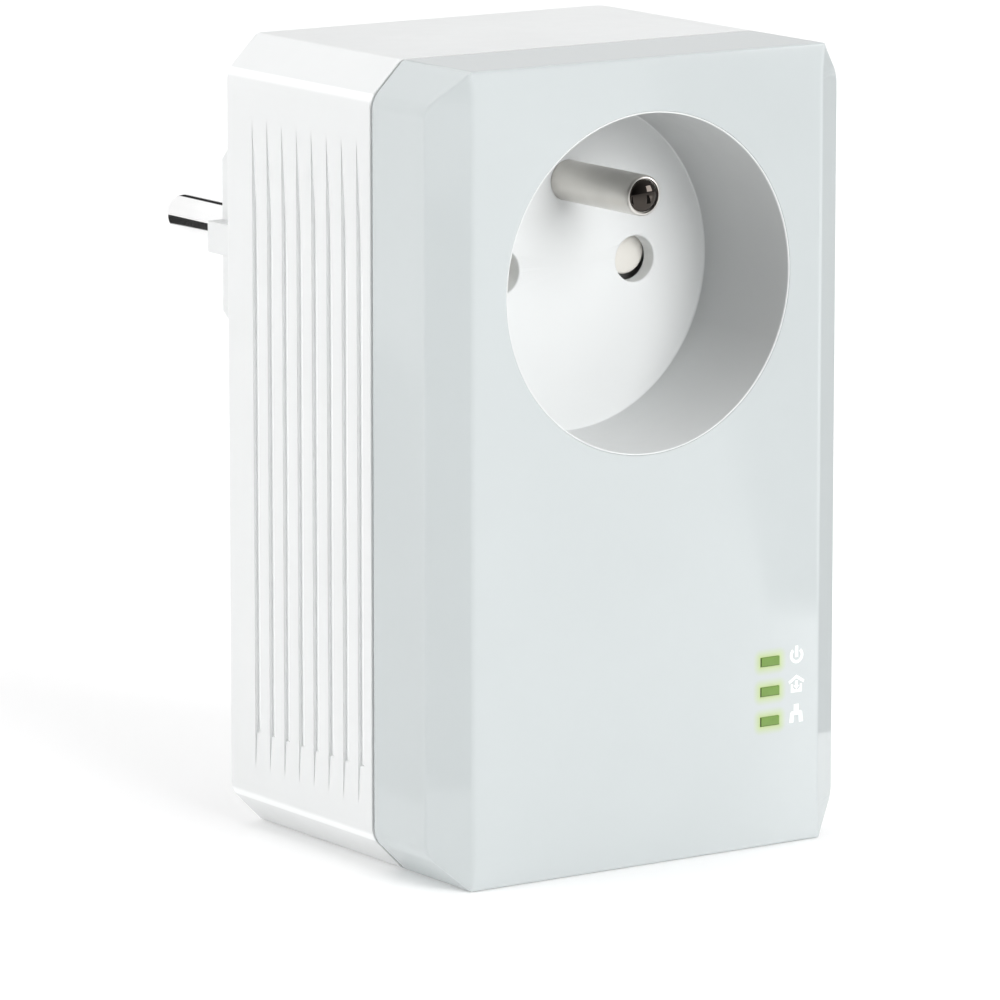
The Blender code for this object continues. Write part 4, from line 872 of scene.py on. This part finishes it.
def make_well(sizes, look):
    """The turned cup: a thin rounded rim, a wall with draft, a fillet and a flat floor with three holes."""
    floor_y = FRONT_Y + WELL_DEPTH
    back_y = floor_y + FLOOR_THICK
    behind = FRONT_Y + WALL + GAP
    rim = WELL_LIP / 2
    fillet = sizes.floor_fillet
    inner = WELL_RADIUS - WELL_DRAFT
    lip_middle = WELL_RADIUS + rim
    profile = [(back_y, POLE), (back_y, WELL_OUTER - CHAMFER), (back_y - CHAMFER, WELL_OUTER),
               (behind, WELL_OUTER), (behind, WELL_RADIUS + WELL_LIP)]
    profile += arc_profile((FRONT_Y + rim, lip_middle), rim, 90, 270, 9)
    profile += arc_profile((floor_y - fillet, inner - fillet), fillet, 90, 0, 7)
    profile += [(floor_y, 12.0 * MM), (floor_y, POLE)]
    well = turned("well_cup", profile, (0.0, SOCKET_Z), sides=192)
    cuts = []
    for x, z, radius, chamfer in ((-HOLE_X, SOCKET_Z, HOLE_RADIUS, 0.2 * MM),
                                  (HOLE_X, SOCKET_Z, HOLE_RADIUS, 0.2 * MM),
                                  (0.0, EARTH_Z, EARTH_RADIUS + RIM_GAP, 0.0)):
        profile = [(floor_y - WALL, radius + chamfer), (floor_y, radius + chamfer),
                   (floor_y + chamfer / 3, radius + chamfer / 3), (floor_y + chamfer, radius),
                   (back_y + WALL, radius)]
        cuts.append(turned("hole", profile, (x, z), sides=64))
    worked(well, ("DIFFERENCE", joined("holes", cuts)))
    return place(shaded(well, look), "case", ["socket_well"])


def make_earth_pin(satin, polished):
    """The socket's earth pin: a satin shank with a rounded ring, and a polished dome inside the ring, near
    black as a painted dark reflection.
    """
    tip, end = EARTH_LOW.y, EARTH_HIGH.y
    edge, ring, dip = 0.35 * MM, 2.0 * MM, 0.25 * MM
    profile = [(end, POLE), (end, EARTH_RADIUS), (tip + edge + 1.0 * MM, EARTH_RADIUS)]
    profile += arc_profile((tip + edge, EARTH_RADIUS - edge), edge, 90, 180, 7)
    profile += [(tip, ring + 0.03 * MM), (tip + 0.05 * MM, ring)]
    profile += [(tip + dip, ring - 0.05 * MM), (tip + dip, POLE)]
    shank = turned("earth_pin", profile, (0.0, EARTH_Z), look=satin)
    place(shaded(shank, satin), "case", ["socket_earth_pin"])
    dome_radius = ring - 0.1 * MM
    turn = np.linspace(0.0, math.pi / 2, 14)
    bulge = 0.75 * MM
    start = tip + dip + POLE
    dome = [(start + POLE, POLE), (start + POLE, dome_radius)]
    dome += list(zip(start - bulge * np.sin(turn), np.maximum(dome_radius * np.cos(turn), POLE)))
    cap = turned("earth_pin_dome", dome, (0.0, EARTH_Z), look=polished, sides=64)
    place(shaded(cap, polished), "case")


def make_shutter(look):
    """The shutter: a hub with a bore, two arms and a rounded pad behind each contact hole."""
    low, high = SHUTTER_LOW.y, SHUTTER_HIGH.y
    hub, bore, pad, edge, arm = 3.6 * MM, 1.8 * MM, 2.75 * MM, 0.35 * MM, 1.5 * MM
    offset = Vector((0.15 * MM, 0.6 * MM))
    middle = (0.0, SOCKET_Z)
    body = turned("shutter_plate", [(low, hub - edge), (low + edge, hub), (high, hub)], middle, sides=64)
    reach = HOLE_X - pad / 2
    arms = block("arms", (-reach, low, SOCKET_Z - arm), (reach, high, SOCKET_Z + arm))
    pads = []
    for side in (-1, 1):
        profile = arc_profile((low + edge, pad - edge), edge, 180, 90, 6) + [(high, pad)]
        spot = (side * (HOLE_X + offset.x), SOCKET_Z + side * offset.y)
        pads.append(turned("pad", profile, spot, sides=64))
    hole = turned("bore", [(low - WALL, bore), (high + WALL, bore)], middle, sides=32)
    worked(body, ("UNION", arms), ("UNION", joined("pads", pads)), ("DIFFERENCE", hole))
    return place(shaded(body, look), "shutter", ["socket_shutter"])


# ---- plug, lights and underside

def make_plug(look, bright, nickel):
    """The moulded plug with its pins, and the two side earth clips."""
    softened("plug_body", "plug_moulding", look, 0.35 * MM, 3, 38.0)
    nose, flat = 1.6 * MM, 0.85 * MM
    turn = np.linspace(0.0, math.pi / 2, 12)
    for pole in ("line", "neutral"):
        low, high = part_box(pole + "_plug_pin")
        centre = ((low.x + high.x) / 2, PLUG_Z)
        profile = [(low.y, POLE), (low.y, PIN_RADIUS), (high.y - nose - 4.0 * MM, PIN_RADIUS)]
        level = high.y - nose + nose * np.sin(turn)
        radius = flat + (PIN_RADIUS - flat) * np.cos(turn)
        profile += list(zip(level, radius)) + [(high.y, POLE)]
        pin = turned(pole + "_pin", profile, centre, look=bright)
        place(shaded(pin, bright, 50.0), "case", [pole + "_plug_pin"])
    for node in ("upper_earth_clip", "lower_earth_clip"):
        softened(node, node.replace("_clip", "_spring"), nickel, 0.12 * MM, 2, 40.0)


def printed(name, outlines, centre, look):
    """A printed symbol: each outline, in units of its height, becomes a thin closed layer in front."""
    scale = bpy.context.scene.adapter_sizes.print_height
    layers = []
    for outline in outlines:
        points = np.array(outline, float) * scale + np.array(centre)
        rings = [np.stack([points[:, 0], np.full(len(points), y), points[:, 1]], axis=1)
                 for y in (FRONT_Y + 0.03 * MM, FRONT_Y - 0.015 * MM)]
        layers.append(lofted("layer", np.array(rings)))
    return place(shaded(joined(name, layers), look, 30.0), "case")


def band(radius, thick, start, end, centre):
    """An arc-shaped band about a centre, from one angle to another in degrees."""
    turn = np.radians(np.linspace(start, end, 40))
    ray = np.stack([np.cos(turn), np.sin(turn)], axis=1)
    return np.concatenate([ray * (radius + thick / 2), ray[::-1] * (radius - thick / 2)]) + np.array(centre)


def even_sided(*right):
    """An outline that is the same on both sides, from the points of its right half."""
    return list(right) + [(-x, z) for x, z in reversed(right) if x > 0]


def make_symbols(look):
    """The symbols beside the windows: power, house with a downward arrow, and network tree."""
    bar = even_sided((0.105, 0.45), (0.105, -0.20))
    power = [band(0.37, 0.18, 130, 410, (0.0, -0.09)), bar]
    roof = even_sided((0.0, 0.49), (0.55, 0.15), (0.48, 0.0), (0.0, 0.29))
    arrow = even_sided((0.09, 0.16), (0.09, -0.12), (0.20, -0.12), (0.0, -0.33))
    base = even_sided((0.10, -0.35), (0.24, -0.22), (0.24, -0.03), (0.38, -0.03), (0.38, -0.50))
    tree = even_sided((0.165, 0.52), (0.165, 0.13), (0.30, 0.13), (0.41, 0.04), (0.47, -0.52), (0.19, -0.52),
                      (0.17, -0.10))
    shapes = {"power": power, "home": [roof, arrow, base], "network": [tree]}
    beside, above = 3.85 * MM, 0.5 * MM
    for window, outlines in shapes.items():
        low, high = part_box("light_pipe_" + window)
        centre = ((low.x + high.x) / 2 + beside, (low.z + high.z) / 2 + above)
        printed("symbol_" + window, outlines, centre, look)


def make_lights(looks):
    """The three lit windows, as rounded ends of the light pipes, and the symbols beside them."""
    for window in WINDOWS:
        lens = softened("light_pipe_" + window, "window_" + window, looks["pipe_green"], 0.06 * MM, 2)
        points = np.empty(len(lens.data.vertices) * 3)
        lens.data.vertices.foreach_get("co", points)
        points[1::3] -= np.where(points[1::3] < FRONT_Y + 0.2 * MM, LENS_PROUD, 0.0)
        lens.data.vertices.foreach_set("co", points)
    make_symbols(looks["print_white"])


def make_underside(looks):
    """The jack and the pairing button on the lower face, with rounded edges."""
    softened("ethernet_jack", "network_jack", looks["black_moulding"], 0.15 * MM, 2, 50.0)
    softened("pair_button", "round_button", looks["housing_matte"], 0.12 * MM, 2, 40.0)
    softened("rating_label", "back_label", looks["label_paper"], 0.08 * MM, 2)


def finish_rest(looks):
    """Gives every frame node the finish of its slot, also the sealed inner parts."""
    for name, node in frame["nodes"].items():
        look = looks[slot_of(name)]
        if not node.data.materials:
            node.data.materials.append(look)
        for number in range(len(node.data.materials)):
            node.data.materials[number] = look


# ---- stage

def soft_light(name, towards, spread, level):
    """A wide far light. Level is how bright it makes a white surface, spread its width in degrees."""
    data = bpy.data.lights.new(name, "SUN")
    data.angle = math.radians(spread)
    data.energy = level * math.pi
    light = added(name, data)
    light.rotation_euler = Vector(towards).to_track_quat("Z", "Y").to_euler()
    light.visible_glossy = False


def make_floor():
    """A wide pale floor with a faint sheen."""
    finish = Finish("floor_pale")
    finish.painted(finish.clouded(3.0, (0.93, 0.93, 0.93), (0.95, 0.95, 0.95)))
    finish.set(Roughness=0.12, Specular_IOR_Level=0.12)
    finish.set(Emission_Color=(1.0, 1.0, 1.0, 1.0), Emission_Strength=0.14)
    reach = 6.0
    ring = ((-reach, -reach), (reach, -reach), (reach, reach), (-reach, reach))
    corners = [(x, y, -0.05 * MM) for x, y in ring]
    piece_of("floor", corners, [(0, 1, 2, 3)], finish.made)


def make_surround():
    """The soft surround light: even, and darker towards the front left."""
    world = bpy.data.worlds.new("surround")
    world.use_nodes = True
    bpy.context.scene.world = world
    tree = world.node_tree
    place_of = tree.nodes.new("ShaderNodeTexCoord")
    toward = tree.nodes.new("ShaderNodeVectorMath")
    toward.operation = "DOT_PRODUCT"
    toward.inputs[1].default_value = (-0.60, -0.79, 0.12)
    change = tree.nodes.new("ShaderNodeMapRange")
    for key, value in (("From Min", 0.1), ("From Max", 0.95), ("To Min", 0.42), ("To Max", 0.06)):
        change.inputs[key].default_value = value
    tree.nodes["Background"].inputs["Color"].default_value = (1.0, 1.0, 1.0, 1.0)
    tree.links.new(place_of.outputs["Generated"], toward.inputs[0])
    tree.links.new(toward.outputs["Value"], change.inputs["Value"])
    tree.links.new(change.outputs["Result"], tree.nodes["Background"].inputs["Strength"])


def card(name, corners, level):
    """A flat screen that only mirrored rays see. Level is its brightness."""
    finish = Finish(name)
    tint = finish.clouded(2.0, (0.97, 0.97, 0.97), (1.0, 1.0, 1.0))
    finish.join(tint, finish.shader.inputs["Emission Color"])
    finish.set(Base_Color=(0.0, 0.0, 0.0, 1.0), Specular_IOR_Level=0.0, Emission_Strength=level)
    screen = piece_of(name, corners, [(0, 1, 2, 3)], finish.made)
    screen.visible_camera = False
    screen.visible_diffuse = False
    screen.visible_shadow = False
    screen.visible_transmission = False


def lying(*spots):
    """The corners of a screen just over the floor."""
    return [(x, y, 1.0 * MM) for x, y in spots]


def standing(start, end, bottom, top):
    """The corners of an upright screen from one spot to another."""
    return [(*start, bottom), (*end, bottom), (*end, top), (*start, top)]


def make_cards():
    """Pale and dark screens that give the metal and the glossy cover their reflections."""
    card("back_white", standing((-2.2, 1.6), (0.60, 1.6), 0.02, 2.6), 1.15)
    card("back_dark", standing((0.18, 0.5), (0.30, 0.5), 0.15, 0.5), 0.03)
    card("back_grey", standing((0.60, 1.6), (2.4, 1.6), 0.02, 2.0), 0.75)
    card("tip_light", standing((0.74, -1.03), (1.06, -0.71), 0.12, 0.50), 7.0)
    card("pin_dark", lying((-0.02, 0.155), (-0.075, 0.15), (-0.42, 0.57), (-0.30, 0.66)), 0.03)
    card("cover_dark", lying((-0.05, -0.01), (-0.216, 0.242), (-0.239, 0.292), (-0.06, 0.07)), 0.8)
    card("front_dark", lying((0.101, -0.158), (0.436, -0.661), (0.52, -0.62), (0.14, -0.12)), 0.15)
    card("left_dark", lying((-0.04, -0.09), (-0.34, -0.50), (-0.44, -0.42), (-0.09, -0.06)), 0.05)
    card("right_dark", lying((0.075, -0.05), (0.80, 0.03), (0.80, 0.24), (0.075, -0.01)), 0.25)


def make_camera():
    """A long lens from the front left, a little above."""
    turn, tilt = math.radians(-34.089), math.radians(10.542)
    distance = 0.864453
    target = Vector((-0.007113, -0.0235, 0.040587))
    away = Vector((math.sin(turn) * math.cos(tilt), -math.cos(turn) * math.cos(tilt), math.sin(tilt)))
    data = bpy.data.cameras.new("camera")
    data.sensor_width = 36.0
    data.lens = 267.4
    data.clip_start = 0.05
    camera = added("camera", data)
    camera.location = target + away * distance
    camera.rotation_euler = away.to_track_quat("Z", "Y").to_euler()
    bpy.context.scene.camera = camera


def make_lighting():
    """A key light from the front, a side light from behind on the left, and one overhead."""
    soft_light("key", (0.12, -0.90, 0.40), 40.0, 0.77)
    soft_light("side", (-0.88, 0.47, 0.12), 45.0, 0.79)
    soft_light("top", (0.1, 0.15, 1.0), 80.0, 0.43)
    bpy.context.scene.view_settings.view_transform = "Standard"


# ---- operators

class MakeCover(bpy.types.Operator):
    """Builds the glossy front cover."""

    bl_idname = "adapter.make_cover"
    bl_label = "Front cover"

    def execute(self, context):
        make_cover(context.scene.adapter_sizes, finishes()["cover_gloss"])
        return {"FINISHED"}


class MakeHousing(bpy.types.Operator):
    """Builds the matte wall-side shell."""

    bl_idname = "adapter.make_housing"
    bl_label = "Rear housing"

    def execute(self, context):
        make_housing(context.scene.adapter_sizes, finishes()["housing_matte"])
        return {"FINISHED"}


class MakeSocket(bpy.types.Operator):
    """Builds the socket's well, earth pin and shutter."""

    bl_idname = "adapter.make_socket"
    bl_label = "Socket"

    def execute(self, context):
        looks = finishes()
        make_well(context.scene.adapter_sizes, looks["well_satin"])
        make_earth_pin(looks["nickel_satin"], looks["nickel_polished"])
        make_shutter(looks["shutter_cream"])
        return {"FINISHED"}


class MakePlug(bpy.types.Operator):
    """Builds the wall plug with its pins and clips."""

    bl_idname = "adapter.make_plug"
    bl_label = "Wall plug"

    def execute(self, context):
        looks = finishes()
        make_plug(looks["plug_matte"], looks["pin_bright"], looks["nickel_satin"])
        return {"FINISHED"}


class MakeLights(bpy.types.Operator):
    """Builds the lit windows and their symbols."""

    bl_idname = "adapter.make_lights"
    bl_label = "Indicator lights"

    def execute(self, context):
        make_lights(finishes())
        return {"FINISHED"}


class MakeUnderside(bpy.types.Operator):
    """Builds the network jack, the button and the label."""

    bl_idname = "adapter.make_underside"
    bl_label = "Jack, button and label"

    def execute(self, context):
        make_underside(finishes())
        return {"FINISHED"}


class FinishNodes(bpy.types.Operator):
    """Gives the frame's own nodes their finishes."""

    bl_idname = "adapter.finish_nodes"
    bl_label = "Inner parts"

    def execute(self, context):
        finish_rest(finishes())
        return {"FINISHED"}


class MakeStage(bpy.types.Operator):
    """Builds the floor, lights, surround, screens and camera."""

    bl_idname = "adapter.make_stage"
    bl_label = "Stage"

    def execute(self, context):
        make_floor()
        make_surround()
        make_lighting()
        make_cards()
        make_camera()
        return {"FINISHED"}


OPERATORS = (MakeCover, MakeHousing, MakeSocket, MakePlug, MakeLights, MakeUnderside, FinishNodes, MakeStage)


class AdapterPanel(bpy.types.Panel):
    """Lists the adapter's settings and makers."""

    bl_idname = "VIEW3D_PT_adapter"
    bl_label = "Adapter"
    bl_space_type = "VIEW_3D"
    bl_region_type = "UI"
    bl_category = "Adapter"

    def draw(self, context):
        layout = self.layout
        for settings in (context.scene.adapter_sizes, context.scene.adapter_colours):
            for key in settings.__annotations__:
                layout.prop(settings, key)
        for maker in OPERATORS:
            layout.operator(maker.bl_idname)


CLASSES = (AdapterSizes, AdapterColours, *OPERATORS, AdapterPanel)


def register():
    """Registers the classes and hangs the settings on the scene."""
    for item in CLASSES:
        bpy.utils.register_class(item)
    bpy.types.Scene.adapter_sizes = PointerProperty(type=AdapterSizes)
    bpy.types.Scene.adapter_colours = PointerProperty(type=AdapterColours)


def unregister():
    """Removes the settings and the classes."""
    del bpy.types.Scene.adapter_colours
    del bpy.types.Scene.adapter_sizes
    for item in reversed(CLASSES):
        bpy.utils.unregister_class(item)


def main():
    """Builds everything in order."""
    register()
    for maker in OPERATORS:
        group, operation = maker.bl_idname.split(".")
        getattr(getattr(bpy.ops, group), operation)()


if __name__ == "__main__":
    main()
